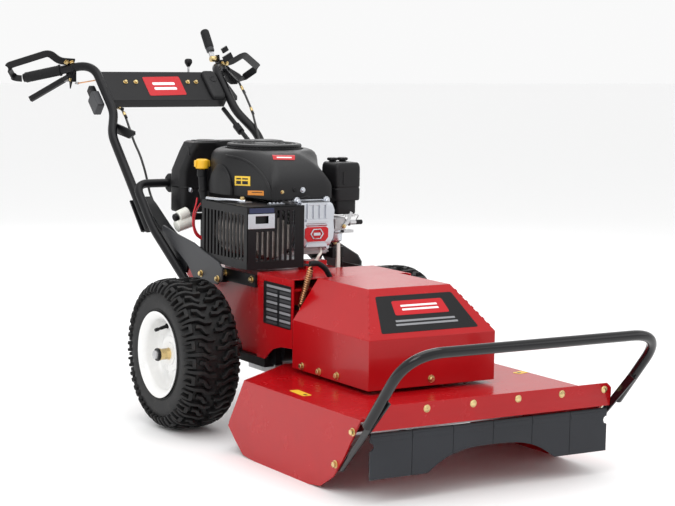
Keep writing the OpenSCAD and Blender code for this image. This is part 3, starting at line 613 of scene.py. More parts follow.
def make_rim(name, side):
    mid = wheel_middle("rim_" + name)
    piece = Piece()
    piece.lathe(RIM_LIP + RIM_DISH + RIM_BACK + [(r, -h) for r, h in RIM_LIP[::-1]],
                (side * mid, 0, AXLE_Z), (side, 0, 0), WHITE, 96, closed=True)
    up, along = math.sin(VALVE_TURN), math.cos(VALVE_TURN)
    foot = Vector((side * (mid + 24), VALVE_RADIUS * along, AXLE_Z + VALVE_RADIUS * up))
    piece.lathe([(7.5, 0), (7.5, 6), (5.2, 9), (5.0, 26), (4.0, 27), (4.0, 34), (5.2, 35),
                 (5.2, 44), (4.4, 45.5)], foot, (side, -0.25 * along, -0.25 * up),
                DARK_PLASTIC, 20)
    piece.done("rim_dish_" + name, "wheel_" + name,
               angle=50, stands_for=["rim_" + name])


# Profiles of the hub from its outer end inwards: (radius, depth) points, paint, steps, closed
HUB_PARTS = [
    ([(9, 0), (11.5, 1.2), (12.2, 4), (12.2, 9)], STEEL, 32, False),
    ([(12, 8), (17.5, 8), (18.2, 9.5), (18.2, 14), (17, 15.5), (12, 15.5)], DARK_PLASTIC, 32,
     False),
    ([(14, 15), (17, 15.5), (17, 19), (15.6, 21), (15.6, 44), (17, 45), (17, 50), (12, 51)],
     ZINC, 32, False),
    ([(31.5, 46), (31.8, 48), (31.8, 100), (30, 103), (16, 103), (16, 46)], WHITE, 48, True),
    ([(16, 49.5), (50, 49.5), (50, 54), (16, 54)], WHITE, 48, True)]


def make_hub(name, side):
    low, high = span("axle_hub_" + name)
    tip = max(abs(low.x), abs(high.x))
    piece = Piece()
    inward = (-side, 0, 0)
    for profile, paint, steps, closed in HUB_PARTS:
        piece.lathe(profile, (side * tip, 0, AXLE_Z), inward, paint, steps, closed)
    piece.rod((side * (tip - 60), 0, AXLE_Z), (side * 110, 0, AXLE_Z), 16, STEEL, 32)
    for a in circle(5):
        piece.bolt((side * (tip - 54), 42 * math.cos(a), AXLE_Z + 42 * math.sin(a)), inward,
                   6.5, WHITE)
    piece.done("hub_" + name, "wheel_" + name, bevel=0.5,
               stands_for=["axle_hub_" + name])


# ------------------------------------------------------------------ handle
GRIP_ROOT, GRIP_END = Vector((273, 950, 982)), Vector((391, 1052, 947))
TUBE_LINE = [(252, 411, 514), (256, 672, 784), (217, 742, 850), (217, 903, 998), GRIP_END]
TUBE_BENDS = (30, 30, 60)
GUARD_LINE = [(262, 946, 1001), (310, 952, 1004), (352, 941, 1030), (457, 1028, 986),
              (418, 1068, 947), (397, 1055, 945)]
STRAP_WAY, GUARD_OUT = (0.4545, -0.4545, 0.766), (0.119, -0.739, -0.509)
LEVER_PIVOT, LEVER_TIP = Vector((268, 962, 957)), Vector((372, 1039, 880))
LEVER_AXIS = unit((LEVER_TIP - LEVER_PIVOT).cross(GRIP_END - GRIP_ROOT))


def make_handle(name, s):
    tube = Piece()
    route = [sided(p, s) for p in bent(TUBE_LINE, TUBE_BENDS)]
    tube.tube(route, 14, BLACK, 24)
    root, end = Vector(sided(GRIP_ROOT, s)), Vector(sided(GRIP_END, s))
    way = unit(end - root)
    tube.rod(root - way * 12, root - way * 4, 15.6, BLACK, 28, 1.5)
    tube.done("handle_bar_" + name, "chassis", angle=40,
              stands_for=["handle_tube_" + name])

    grip = Piece()
    start = root + way * 34
    length = (end - start).length - 6
    profile = [(14.2, 0), (18.5, 0), (19, 2), (18.5, 4.5), (16.6, 6)]
    for i in range(int((length - 18) / 6)):
        h = 9 + i * 6
        profile += [(16.3, h), (16.9, h + 1), (16.9, h + 3.4), (16.3, h + 4.4)]
    profile += [(16.8, length - 7), (16.9, length - 2), (15, length)]
    grip.lathe(profile, start, way, RUBBER, 32)
    grip.done("grip_sleeve_" + name, "chassis", angle=60,
              stands_for=["grip_" + name])

    guard = Piece()
    line = [sided(p, s) for p in rounded(GUARD_LINE, 16, 7)]
    strap_way = sided(STRAP_WAY, s)
    guard.strap(line, strap_way, 24, 5, BLACK)
    foot, bend = Vector(sided(GUARD_LINE[0], s)), Vector(sided(GUARD_LINE[1], s))
    out = Vector(sided(GUARD_OUT, s))
    for reach in (9, 27):
        guard.bolt(foot + unit(bend - foot) * reach + out * 2.5, out, 6.2, ZINC)
    guard.done("guard_loop_" + name, "chassis", bevel=1.0,
               stands_for=["hand_guard_" + name])

    lever = Piece()
    pivot, tip = Vector(sided(LEVER_PIVOT, s)), Vector(sided(LEVER_TIP, s))
    run = unit(tip - pivot)
    wide = Vector(sided(LEVER_AXIS, s))
    deep = run.cross(wide)
    for edge in (-1, 1):
        lever.strap([pivot - run * 4 + deep * edge * 6.5, tip + deep * edge * 6.5], wide, 17, 2.4,
                    GLOSS_BLACK)
    lever.strap([pivot + run * 8 + wide * 7.5, tip + wide * 7.5], deep, 15, 2.4, GLOSS_BLACK)
    lever.strap([pivot + run * 26, tip + run * 3], wide, 17.5, 16.5, RUBBER)
    lever.rod(pivot - wide * 7, pivot + wide * 7, 9.5, BLACK, 24, 1)
    lever.done("presence_bail_" + name, "presence_lever_" + name, bevel=1.4,
               stands_for=["presence_lever_" + name])


def make_cross_tube():
    radius = span("cross_tube")[1].x - 258
    leg = [(230, 190, 369), (258, 376, 523), (258, 498, 645)]
    piece = Piece()
    piece.tube(bent(leg + [sided(p, -1) for p in leg[::-1]], (36, 44, 44, 36)), radius, BLACK, 24)
    piece.rod((-148, 498, 645), (-130, 498, 645), 29, RUBBER, 40, 4)
    piece.done("cross_bar", "chassis", angle=40, stands_for=["cross_tube"])


CONSOLE_FOOT = Vector((0, 782, 882))
CONSOLE_UP = Vector((0, 0.7372, 0.6757))
CONSOLE_OUT = Vector((0, -CONSOLE_UP.z, CONSOLE_UP.y))


def on_console(u, v, w=0.0):
    """A point u across the console, v up its face and w out of it."""
    return CONSOLE_FOOT + Vector((u, 0, 0)) + CONSOLE_UP * v + CONSOLE_OUT * w


def badge(piece, at, outline, thick, paint, lift=0.0):
    """A thin plate with rounded corners on a surface that at maps (u, v, w) to."""
    ring = []
    count = len(outline)
    for i in range(count):
        a, b, c = (Vector(outline[(i + k) % count]) for k in (-1, 0, 1))
        reach = min(6, (a - b).length / 3, (c - b).length / 3)
        ring += curve(b + (a - b).normalized() * reach, b, b + (c - b).normalized() * reach,
                      (0, 0.3, 0.7, 1))
    piece.rings([[at(p.x, p.y, w) for p in ring] for w in (lift, lift + thick)], paint)


def four(u0, v0, u1, v1):
    """A rectangle's corners."""
    return [(u0, v0), (u1, v0), (u1, v1), (u0, v1)]


def make_console():
    dress("console_panel", BLACK, 1.6, 3)
    plate = Piece()
    badge(plate, on_console, [(-66, 105), (66, 108), (66, 24), (-66, 20)], 0.9, BADGE_RED, 4)
    for v in (74, 52):
        badge(plate, on_console, [(-40, v + 6), (40, v + 7), (40, v - 5), (-40, v - 6)], 0.5,
              BADGE_WHITE, 4.7)
    plate.done("console_badge", "chassis")
    pod = Piece()

    def bulge(value, power):
        return math.copysign(abs(value) ** power, value)
    pod.rings([[on_console(176 + (26 - inset) * bulge(math.cos(a), 0.42),
                           65 + (63 - inset) * bulge(math.sin(a), 0.3), w)
                for a in circle(40)]
               for inset, w in ((0, 4.05), (0, 9), (1.5, 13), (5, 15.6), (9, 16))], PLASTIC)
    pod.lathe([(4, 0), (11, 0.2), (12.4, 1), (11, 1.6), (9.6, 0.6), (4, 0.4)],
              on_console(181, 85, 15.8), CONSOLE_OUT, DARK_PLASTIC, 32)
    pod.done("control_cover", "chassis", angle=45,
             stands_for=["control_pod"])


def make_levers():
    base, tip = Vector((232, 934, 1015)), Vector((232, 1000, 1108))
    way = unit(tip - base)
    lever = Piece()
    lever.strap([base - way * 8, base + way * 42], (1, 0, 0), 16, 9, STEEL)
    lever.lathe([(8, 28), (12.5, 29), (13.5, 32), (13.5, 42), (11, 44)], base, way, GREY, 28)
    length = (tip - base).length
    profile = [(11, 42), (14, 43), (14.8, 46)]
    for i in range(7):
        h = 50 + i * 7
        profile += [(14.5, h), (15, h + 1.2), (15, h + 4.6), (14.5, h + 5.6)]
    profile += [(15, length - 12), (14.4, length - 5), (12, length - 1.4), (7, length - 0.1),
                (0.01, length)]
    lever.lathe(profile, base, way, RUBBER, 32)
    lever.rod((222, base.y, base.z), (246, base.y, base.z), 10, ZINC, 28, 1)
    lever.done("clutch_handle", "clutch_lever", bevel=0.8, angle=50,
               stands_for=["clutch_lever"])
    knob = Piece()
    foot = Vector((130, 914, 945))
    knob.rod(foot, foot + Vector((0, 0, 50)), 3.6, STEEL, 16)
    knob.lathe([(5, 44), (6.5, 46), (8, 49), (12, 55), (13, 60), (12.2, 66), (9, 70),
                (4, 70.9), (0.01, 71)], foot, UP, DARK_PLASTIC, 32)
    knob.rod((122, foot.y, foot.z), (138, foot.y, foot.z), 6, STEEL, 24, 0.5)
    knob.done("throttle_knob", "throttle_lever", angle=45,
              stands_for=["throttle_lever"])


DRIVE_CABLE = [(-196, 790, 862), (-196, 735, 862), (-197, 707, 846), (-204, 620, 761),
               (-203, 581, 726), (-194, 560, 672), (-182, 557, 612), (-178, 500, 545),
               (-172, 380, 450), (-170, 334, 426)]
CLUTCH_CABLE = [(262, 811, 945), (268, 785, 913), (264, 719, 852), (246, 655, 797),
                (236, 617, 759), (214, 540, 676), (198, 500, 600), (178, 455, 530),
                (172, 380, 450), (170, 334, 426)]


def make_cables():
    piece = Piece()
    for line in (DRIVE_CABLE, CLUTCH_CABLE):
        route = rounded(line, 22, 5)
        piece.tube(route, 3.6, SHEATH, 14)
        for i in (1, 8):
            way = unit(route[i + 1] - route[i])
            piece.rod(route[i], route[i] + way * 16, 5.2, ZINC, 6, 0.6)
            piece.rod(route[i] + way * 18, route[i] + way * 30, 4.6, DARK_PLASTIC, 16, 1)
    piece.done("control_cable_pair", "chassis", angle=50,
               stands_for=["control_cables"])
    rod = Piece()
    line = [Vector((-255, 949, 933)), Vector((-250, 920, 936)), Vector((-217, 884, 945))]
    rod.tube(rounded(line, 12), 2.2, COPPER, 10)
    rod.rod(line[0], line[0] + Vector((1, -14, 1)), 4.5, STEEL, 12, 0.6)
    rod.hull([(x, y, z) for x in (-271, -267)
              for y, z in ((930, 972), (972, 968), (962, 916))], BLACK)
    rod.bolt((-271, 955, 946), (-1, 0, 0), 5, ZINC)
    rod.done("switch_rod", "chassis", angle=50)


# ------------------------------------------------------------------ engine
CRANK_Y = 165


def reach_of(outline, angle):
    """Distance from the crank's axis to a convex outline, in the direction of an angle."""
    dx, dy = math.cos(angle), math.sin(angle)
    best = 0
    for (ax, ay), (bx, by) in zip(outline, outline[1:] + outline[:1]):
        ex, ey = bx - ax, by - ay
        cross = dx * ey - dy * ex
        if abs(cross) < 1e-9:
            continue
        along = (ax * ey - ay * ex) / cross
        share = (ax * dy - ay * dx) / cross
        if along > 0 and -1e-6 <= share <= 1 + 1e-6:
            best = max(best, along)
    return best


def convex(points):
    """The convex hull of 2-D points, in order."""
    points = sorted(points)
    halves = []
    for run in (points, points[::-1]):
        chain = []
        for p in run:
            while len(chain) > 1 and ((chain[-1][0] - chain[-2][0]) * (p[1] - chain[-2][1])
                                      - (chain[-1][1] - chain[-2][1]) * (p[0] - chain[-2][0])
                                      <= 0):
                chain.pop()
            chain.append(p)
        halves.append(chain[:-1])
    return halves[0] + halves[1]


def shroud_outline(radius, left, right, front):
    """A circle about the crank joined to the flat front of the shroud."""
    corner = 16
    points = [(radius * math.cos(a), radius * math.sin(a)) for a in circle(96)]
    for x, turn in ((left + corner, math.pi), (right - corner, 1.5 * math.pi)):
        points += [(x + corner * math.cos(a), front - CRANK_Y + corner + corner * math.sin(a))
                   for a in (turn + k * math.pi / 12 for k in range(7))]
    return convex(points)


# Height, radius about the crank, left and right ends of the flat front, and its place in y
SHROUD = [(641, 157.5, -127, 77, -105.5), (676, 157.5, -127, 77, -105.5),
          (686, 157.5, -125, 75, -102), (702, 157.5, -117, 68, -92),
          (720, 157.3, -106, 60, -74), (738, 156.5, -94, 50, -48), (750, 154, -84, 42, -24),
          (760, 148, -74, 34, -4), (766, 140, -60, 24, 14), (770, 128, -40, 10, 36)]
SHROUD_LINES = [(level[0], shroud_outline(*level[1:])) for level in SHROUD]


def on_shroud(degrees, z, lift=0.0):
    """A point on the shroud's skin, by its direction from the crank and its height."""
    a = math.radians(degrees)
    for (z0, lower), (z1, upper) in zip(SHROUD_LINES, SHROUD_LINES[1:]):
        if z <= z1:
            break
    t = min(1, max(0, (z - z0) / (z1 - z0)))
    r = reach_of(lower, a) * (1 - t) + reach_of(upper, a) * t + lift
    return (r * math.cos(a), CRANK_Y + r * math.sin(a), z)


def shroud_label(piece, corners, lift, paint, across=(0, 1), down=(0, 1)):
    """A thin label lying on the shroud, between shares of a four-cornered (degrees, z) area."""
    (a0, z0), (a1, z1), (a2, z2), (a3, z3) = corners
    rings = []
    for u in steps_between(*across, 8):
        line = [((a0 * (1 - u) + a1 * u) * (1 - v) + (a3 * (1 - u) + a2 * u) * v,
                 (z0 * (1 - u) + z1 * u) * (1 - v) + (z3 * (1 - u) + z2 * u) * v)
                for v in steps_between(*down, 6)]
        rings.append([on_shroud(a, z, lift) for a, z in line]
                     + [on_shroud(a, z, -0.6) for a, z in line[::-1]])
    piece.rings(rings, paint)


def make_blower():
    top = SHROUD[-1][0]
    rings = [[on_shroud(2.5 * k, level[0]) for k in range(144)] for level in SHROUD]

    def shrunk(ring, share, z):
        return [(p[0] * share, CRANK_Y + (p[1] - CRANK_Y) * share, z) for p in ring]
    piece = Piece()
    piece.rings([shrunk(rings[0], 0.965, top - 92), shrunk(rings[0], 0.965, top - 129)] + rings
                + [shrunk(rings[-1], 0.9, top), shrunk(rings[-1], 0.9, top - 14)], PLASTIC)
    piece.done("shroud", "chassis", bevel=1.2, angle=32,
               stands_for=["blower_housing"])

    # The arched hump over the exhaust side, and the ridge beside the front slope
    trim = Piece()
    rings = []
    for u in steps_between(0.02, 0.98, 24):
        a = 164.5 + 46.2 * u
        crest = 644 + 83 * math.sin(math.pi * u) ** 0.55
        edge = 1 if 0.03 < u < 0.97 else 0.35
        line = [(z, 8 * edge) for z in steps_between(641, crest, 8)[:-1]] + [(crest, 3 * edge)]
        rings.append([on_shroud(a, z, lift) for z, lift in line]
                     + [on_shroud(a, z, -2) for z, _ in line[::-1]])
    trim.rings(rings, PLASTIC)
    ridge = smoothed([(-165.4, 752.8), (-150.6, 750.5), (-136.9, 742.6), (-127.7, 730.5),
                      (-120.8, 712.1), (-117.4, 693.6), (-115.4, 667.1), (-115, 643)])
    trim.tube([on_shroud(a, z, 0.6) for a, z in ridge], 3.4, PLASTIC, 10)
    trim.done("shroud_hump", "chassis", bevel=1.0, angle=30)

    marks = Piece()
    area = [(-148.4, 697.5), (-130.1, 700.5), (-129.4, 674.2), (-147.5, 670.5)]
    shroud_label(marks, area, 1.0, DECAL_YELLOW)
    for u in (0.12, 0.54):
        shroud_label(marks, area, 1.4, DECAL_BLACK, (u, u + 0.34), (0.2, 0.34))
        shroud_label(marks, area, 1.4, DECAL_BLACK, (u, u + 0.34), (0.5, 0.84))
    area = [(-131.8, 660.6), (-119.3, 665.4), (-119.2, 652.2), (-131.7, 647.9)]
    shroud_label(marks, area, 1.0, DECAL_ORANGE)
    shroud_label(marks, area, 1.4, DECAL_BLACK, (0.3, 0.92), (0.3, 0.45))
    area = [(-111.9, 761), (-88.6, 759.4), (-92.9, 747.4), (-111.9, 749.5)]
    shroud_label(marks, area, 1.8, BADGE_RED)
    shroud_label(marks, area, 2.2, BADGE_WHITE, (0.16, 0.84), (0.38, 0.62))
    marks.done("shroud_labels", "chassis")

    bolts = Piece()
    bolts.bolt((-26, -105, 668), (0, -1, 0), 6, BRIGHT)
    bolts.bolt((-92, -104, 664), (0, -1, 0), 4, ZINC)
    bolts.rod((-52, -103, 670), (-52, -108.5, 670), 6.5, DARK_PLASTIC, 24, 1)
    bolts.done("shroud_screws", "chassis", bevel=0.4)


def make_fan_screen():
    low, high = span("fan_screen")
    r, z0, z1 = (high.x - low.x) / 2, low.z, high.z
    at = (0, CRANK_Y, 0)
    piece = Piece()
    piece.lathe([(r - 9, z0), (r, z0), (r, z0 + 4), (r - 1.5, z0 + 5), (r - 9, z0 + 5)], at,
                UP, PLASTIC, 144, closed=True)
    piece.lathe([(r - 10, z1 - 8), (r - 0.5, z1 - 8), (r - 0.2, z1 - 5), (r - 3, z1 - 1.2),
                 (r - 9, z1), (r - 16, z1), (r - 18, z1 - 2), (r - 18, z1 - 4)], at,
                UP, PLASTIC, 144, closed=True)
    for a in circle(60):
        piece.rings([[(rad * math.cos(a + b), CRANK_Y + rad * math.sin(a + b), z)
                      for rad, b in ((r - 9, -0.026), (r - 0.8, -0.024), (r - 0.8, 0.024),
                                     (r - 9, 0.026))] for z in (z0 + 3, z1 - 6)], PLASTIC)
    piece.lathe([(r - 10, z0 + 2), (r - 10, z1 - 6), (0.01, z1 - 6)], at, UP, DARK_PLASTIC, 96)
    for rad in (34, 58, 82):
        piece.lathe([(rad, z1 - 7), (rad, z1 - 1.5), (rad + 3.5, z1 - 1.5), (rad + 3.5, z1 - 7)],
                    at, UP, PLASTIC, 96, closed=True)
    piece.lathe([(30, z1 - 7), (30, z1 - 2), (26, z1 - 0.4), (0.01, z1 - 0.2)], at, UP,
                PLASTIC, 64)
    for a in circle(36):
        piece.rings([[(rad * math.cos(a) - w * math.sin(a),
                       CRANK_Y + rad * math.sin(a) + w * math.cos(a), z)
                      for rad, w in ((28, -1.3), (r - 15, -1.3), (r - 15, 1.3), (28, 1.3))]
                     for z in (z1 - 7, z1 - 2)], PLASTIC)
    piece.done("intake_screen", "chassis", bevel=0.5, segments=1,
               stands_for=["fan_screen"])


def make_guard():
    low, high = span("muffler_guard")
    x0, y0, z0 = low
    x1, y1, z1 = high
    slots = [(y0 + 20 + i * 20.5, y0 + 30.5 + i * 20.5, z0 + 24, z0 + 150) for i in range(12)]
    piece = Piece()
    perforated(piece, lambda u, v, w: (x0 + w, u, v), (y0, y1), (z0, z1), 2.6, slots, GUARD)
    front = [(x0 + 28 + i * 17, x0 + 37 + i * 17, z0 + 22, z0 + 104) for i in range(4)]
    front += [(x0 + 28 + i * 16.4, x0 + 36 + i * 16.4, z0 + 22, z0 + 162) for i in range(4, 8)]
    front.append((x0 + 12, x0 + 76, z0 + 116, z0 + 154))
    perforated(piece, lambda u, v, w: (u, y0 + w, v), (x0, x1 + 7), (z0, z1), 2.6, front, BLACK)
    piece.tube([(x1 + 7, y0 + 4, z0), (x1 + 7, y0 + 4, z1)], 4, BLACK, 16)
    perforated(piece, lambda u, v, w: (u, v, z1 - w), (x0, -72), (y0, y1), 2.6,
               [(x0 + 20, x0 + 120, y0 + 60 + i * 22, y0 + 69 + i * 22) for i in range(9)], GUARD)
    perforated(piece, lambda u, v, w: (u, v, z1 - w), (-72.1, x1), (y0, y0 + 40), 2.6, [], GUARD)
    piece.box((x0 + 2, y1 - 2.6, z0), (-72, y1, z1), GUARD)
    piece.done("heat_guard", "chassis", bevel=0.7,
               stands_for=["muffler_guard"])

    frame_plate = Piece()
    perforated(frame_plate, lambda u, v, w: (u, y0 - 1.5 + w, v), (x0 + 2, x0 + 86),
               (z0 + 113, z0 + 154), 2.0, [(x0 + 25, x0 + 66, z0 + 127, z0 + 148)], BRIGHT)
    frame_plate.box((x0 + 20, y0 + 8, z0 + 118), (x0 + 76, y0 + 10, z0 + 152), DARK_PLASTIC)
    frame_plate.box((x0 + 6, y0 - 1, z0 + 156), (x0 + 84, y0 + 1, z0 + 170), NAVY)
    frame_plate.done("arrester_plate", "chassis", bevel=0.6)

    rail = Piece()
    rail.tube(rounded([(-222, 96, z1 + 5), (-222, 20, z1 + 7), (-196, -10, z1 + 7),
                       (-170, -34, z1 + 5)], 18), 6.5, BRIGHT, 16, flat=0.7)
    rail.bolt((-176, -26, z1 + 9), UP, 6.5, ZINC)
    rail.box((-190, -40, z1 + 0.2), (-150, 20, z1 + 3), STEEL)
    for i in range(4):
        rail.rod((-128 + 12 * i, -100, z1 + 1), (-128 + 12 * i, -100, z1 + 6), 4, BRIGHT, 16, 1)
    rail.box((-134, -106, z1 + 0.2), (-84, -94, z1 + 2.5), BRIGHT)
    rail.done("choke_arm", "chassis", bevel=0.8)


MUFFLER_AT, MUFFLER_R = Vector((-140, -136, 542)), 62


def make_muffler():
    piece = Piece()
    profile = [(30, 0), (52, 1), (60, 5), (MUFFLER_R, 10)]
    for i in range(10):
        h = 14 + i * 21
        profile += [(63, h), (65.6, h + 4), (65.6, h + 10), (63, h + 14)]
    profile += [(MUFFLER_R, 226), (58, 232), (30, 234)]
    piece.lathe(profile, MUFFLER_AT, (0, 1, 0), EXHAUST, 48)
    for i in range(9):
        x = -66 + i * 16.4
        drop = math.sqrt(max(0, MUFFLER_R ** 2 - x ** 2)) * 0.9
        piece.rod(MUFFLER_AT + Vector((x, -2, -drop)), MUFFLER_AT + Vector((x, -2, drop)), 5.2,
                  EXHAUST, 14)
    piece.rod((-76, -40, 542), (-66.2, -40, 542), 18, EXHAUST, 32)
    piece.done("silencer", "chassis", angle=50, stands_for=["muffler"])


def make_head():
    low, high = span("cylinder_head")
    piece = Piece()
    piece.box((-60, low.y + 2, low.z), (60, high.y, high.z), ALLOY)
    for i in range(11):
        z = low.z + 4 + i * 14.6
        piece.box((low.x, low.y + 1, z), (high.x, high.y - 1, z + 4.2), ALLOY, taper=0.6)
    piece.rod((62, -84, 580), (68, -84, 580), 10, STEEL, 6)
    piece.done("head_casting", "chassis", bevel=0.8,
               stands_for=["cylinder_head"])

    low, high = span("valve_cover")
    back = high.y
    outline = [(-40, 641), (40, 641), (47, 624), (44, 596), (43, 572), (46, 544), (44, 524),
               (34, 504), (-34, 504), (-44, 524), (-46, 544), (-43, 572), (-44, 596), (-47, 624)]
    cover = Piece()
    levels = ((back, 0), (back - 7, 0), (back - 8, -2.5), (-130, -3.5), (-138, -7), (-141, -12))
    cover.rings([[(x + math.copysign(inset, x), y, z + (inset if z > 572 else -inset))
                  for x, z in outline] for y, inset in levels], BRIGHT)
    corners = [(x, z) for x in (-48, 48) for z in (506, 638)]
    for x, z in corners:
        cover.rod((x, back, z), (x, back - 15, z), 11, BRIGHT, 24, 1)
    for x in (-30, -10, 10, 30):
        cover.box((x - 2.6, -146, 590), (x + 2.6, -139, 630), BRIGHT)
    cover.box((-33, -145, 627), (33, -139, 633), BRIGHT)
    cover.box((-36, -146, 581), (36, -139, 588), BRIGHT)
    cover.hull([(-34, -140.5, 577), (34, -140.5, 577), (34, -144, 572), (-34, -144, 572),
                (-34, -140.5, 567), (34, -140.5, 567)], BRIGHT)
    cover.hull([(x, y, z) for x, z in ((-30, 520), (30, 520), (36, 510), (-36, 510))
                for y in (-139, -145)], BRIGHT)
    cover.done("rocker_cover", "chassis", bevel=1.2, segments=3,
               stands_for=["valve_cover"])

    band = Piece()
    band.hull([(x, y, z) for x, z in ((-38, 561), (-30, 566), (30, 566), (38, 561), (38, 536),
                                      (28, 525), (-28, 525), (-38, 536))
               for y in (-139, -142.6)], BADGE_RED)
    ring = [(22, 546), (12, 561), (-12, 561), (-22, 546), (-12, 532), (12, 532)]
    for (ax, az), (bx, bz) in zip(ring, ring[1:] + ring[:1]):
        band.hull([(x * k, y, 546 + (z - 546) * k) for x, z in ((ax, az), (bx, bz))
                   for k in (0.82, 1) for y in (-142, -145.5)], BRIGHT)
    band.hull([(x, y, z) for x in (-11, 11) for z in (542, 550) for y in (-142, -145.2)], BRIGHT)
    band.done("rocker_cover_band", "chassis", bevel=0.6)

    screws = Piece()
    for x, z in corners:
        screws.bolt((x, back - 15, z), (0, -1, 0), 6.6, BRIGHT)
    screws.tube(rounded([(26, -120, 502), (20, -134, 492), (10, -140, 484), (6, -132, 470)], 8),
                4.2, MILKY, 14)
    screws.rod((6, -132, 472), (6, -132, 458), 7, MILKY, 20, 1)
    screws.tube(rounded([(-10, -116, 648), (-24, -128, 652), (-40, -122, 646)], 8), 3.4, RUBBER,
                12)
    screws.done("head_fittings", "chassis", bevel=0.4)


def cornered(x0, x1, y0, y1, corner, inset=0.0):
    """A rectangle with round corners, drawn inset further in: its points by corner."""
    corners = []
    for (x, y), start in (((x1 - corner, y1 - corner), 0), ((x0 + corner, y1 - corner), 1),
                          ((x0 + corner, y0 + corner), 2), ((x1 - corner, y0 + corner), 3)):
        corners.append([(x + (corner - inset) * math.cos(a), y + (corner - inset) * math.sin(a))
                        for a in (math.pi / 2 * (start + k / 6) for k in range(7))])
    return corners


def slabs(piece, area, corner, levels, paint):
    """Stacks rounded rectangles at (height, inset) levels into one body."""
    piece.rings([[(x, y, z) for arc in cornered(*area, corner, inset) for x, y in arc]
                 for z, inset in levels], paint)


def make_air_cleaner():
    piece = Piece()
    slabs(piece, (112, 196, -62, 28), 12,
          [(628, 4), (629, 1.5), (634, 0), (662, 0), (664, 1.6), (667, 1.6), (669, 0), (720, 0),
           (728, 1), (734, 3.5), (737.4, 7), (738, 9)], PLASTIC)
    slabs(piece, (120, 188, -50, 16), 8, [(588, 3), (592, 0), (628.5, 0)], DARK_PLASTIC)
    for x in (136, 170):
        piece.lathe([(10, 0), (10, 2.5), (14.4, 3.4), (15, 5), (15, 9.5), (14, 11.5), (10.5, 12),
                     (0.01, 12)], (x, 2, 738), UP, DARK_PLASTIC, 32)
        for a in circle(12):
            edge = (x + 14.4 * math.cos(a), 2 + 14.4 * math.sin(a))
            piece.rod((*edge, 743), (*edge, 748), 1.4, DARK_PLASTIC, 8)
    piece.box((134, -64, 676), (146, -61, 712), PLASTIC)
    piece.box((154, -61.8, 690), (192, -61, 691.6), DARK_PLASTIC)
    piece.done("air_box", "chassis", bevel=0.8, angle=38,
               stands_for=["air_cleaner"])


def make_carburettor():
    piece = Piece()
    bowl = (100, -78, 512)
    piece.box((80, -100, 549), (120, -42, 585), ALLOY)
    piece.box((84, -104, 553), (116, -98, 581), ALLOY)
    piece.lathe([(0.01, 0), (6, 0), (14, 2), (20, 6), (20.8, 9), (20.8, 30), (19, 31), (19, 36)],
                bowl, UP, BRIGHT, 40)
    piece.lathe([(20.8, 26), (22.5, 26.6), (22.5, 29.6), (20.8, 30)], bowl, UP, ALLOY, 40)
    piece.bolt((100, -78, 512.5), (0, 0, -1), 5, ZINC)
    piece.rod((100, -42, 568), (100, -29, 568), 18, ALLOY, 32, 1)
    piece.rod((122, -66, 566), (176, -66, 566), 7, STEEL, 20, 1)
    for x in (128, 140, 152):
        piece.rod((x, -66, 566), (x + 4, -66, 566), 10, ALLOY, 24, 0.8)
    piece.rod((172, -66, 566), (198, -66, 566), 6.9, DARK_PLASTIC, 20, 2)
    coil = [(118 + 1.7 * k / 2, -96 + 3.6 * math.cos(k * 0.9), 590 + 3.6 * math.sin(k * 0.9))
            for k in range(46)]
    piece.tube(coil, 0.9, STEEL, 6)
    piece.tube([(80, -100, 592), (118, -96, 590)], 1.4, STEEL, 8)
    piece.tube(rounded([(156, -96, 590), (172, -90, 590), (176, -70, 574)], 8), 1.4, STEEL, 8)
    piece.strap([(108, -106, 556), (124, -108, 572), (138, -104, 600)], (0.7, 0, -0.7), 10, 2,
                STEEL)
    piece.bolt((112, -107, 560), (0, -1, 0), 4.5, ZINC)
    piece.box((118, -98, 540), (150, -70, 548), STEEL)
    piece.tube(rounded([(100, -60, 516), (112, -52, 500), (118, -20, 494), (110, 20, 500)], 12),
               4.4, RUBBER, 12)
    piece.done("carburettor_body", "chassis", bevel=0.6, angle=40,
               stands_for=["carburettor"])
    bracket = Piece()
    bracket.box((72, -112, 471), (82, -60, 500), BLACK)
    bracket.box((92, -104, 440), (104, -96, 512), MILKY, taper=1)
    bracket.rod((98, -100, 422), (98, -100, 442), 4, STEEL, 16)
    bracket.box((110, -96, 470), (120, -84, 500), DARK_PLASTIC, taper=1)
    bracket.tube(rounded([(115, -90, 472), (118, -88, 446), (108, -70, 436), (96, -40, 430)], 12),
                 3.6, RUBBER, 10)
    bracket.done("governor_linkage", "chassis", bevel=0.6)


CAP_AT = Vector((-96, 352, 769))
BLOWER_ROOM = 165.5


def tank_ring(z, half, front, back, corner):
    """A level of the tank, hollowed at the front to keep clear of the blower housing."""
    corners = cornered(-half, half, front, back, corner)
    corners[2] += [(-half + corner + 2 * (half - corner) * k / 24, front) for k in range(1, 24)]
    made = []
    for x, y in [point for arc in corners for point in arc]:
        if abs(x) < BLOWER_ROOM:
            y = max(y, min(back - 4, CRANK_Y + math.sqrt(BLOWER_ROOM ** 2 - x ** 2)))
        made.append((x, y, z))
    return made


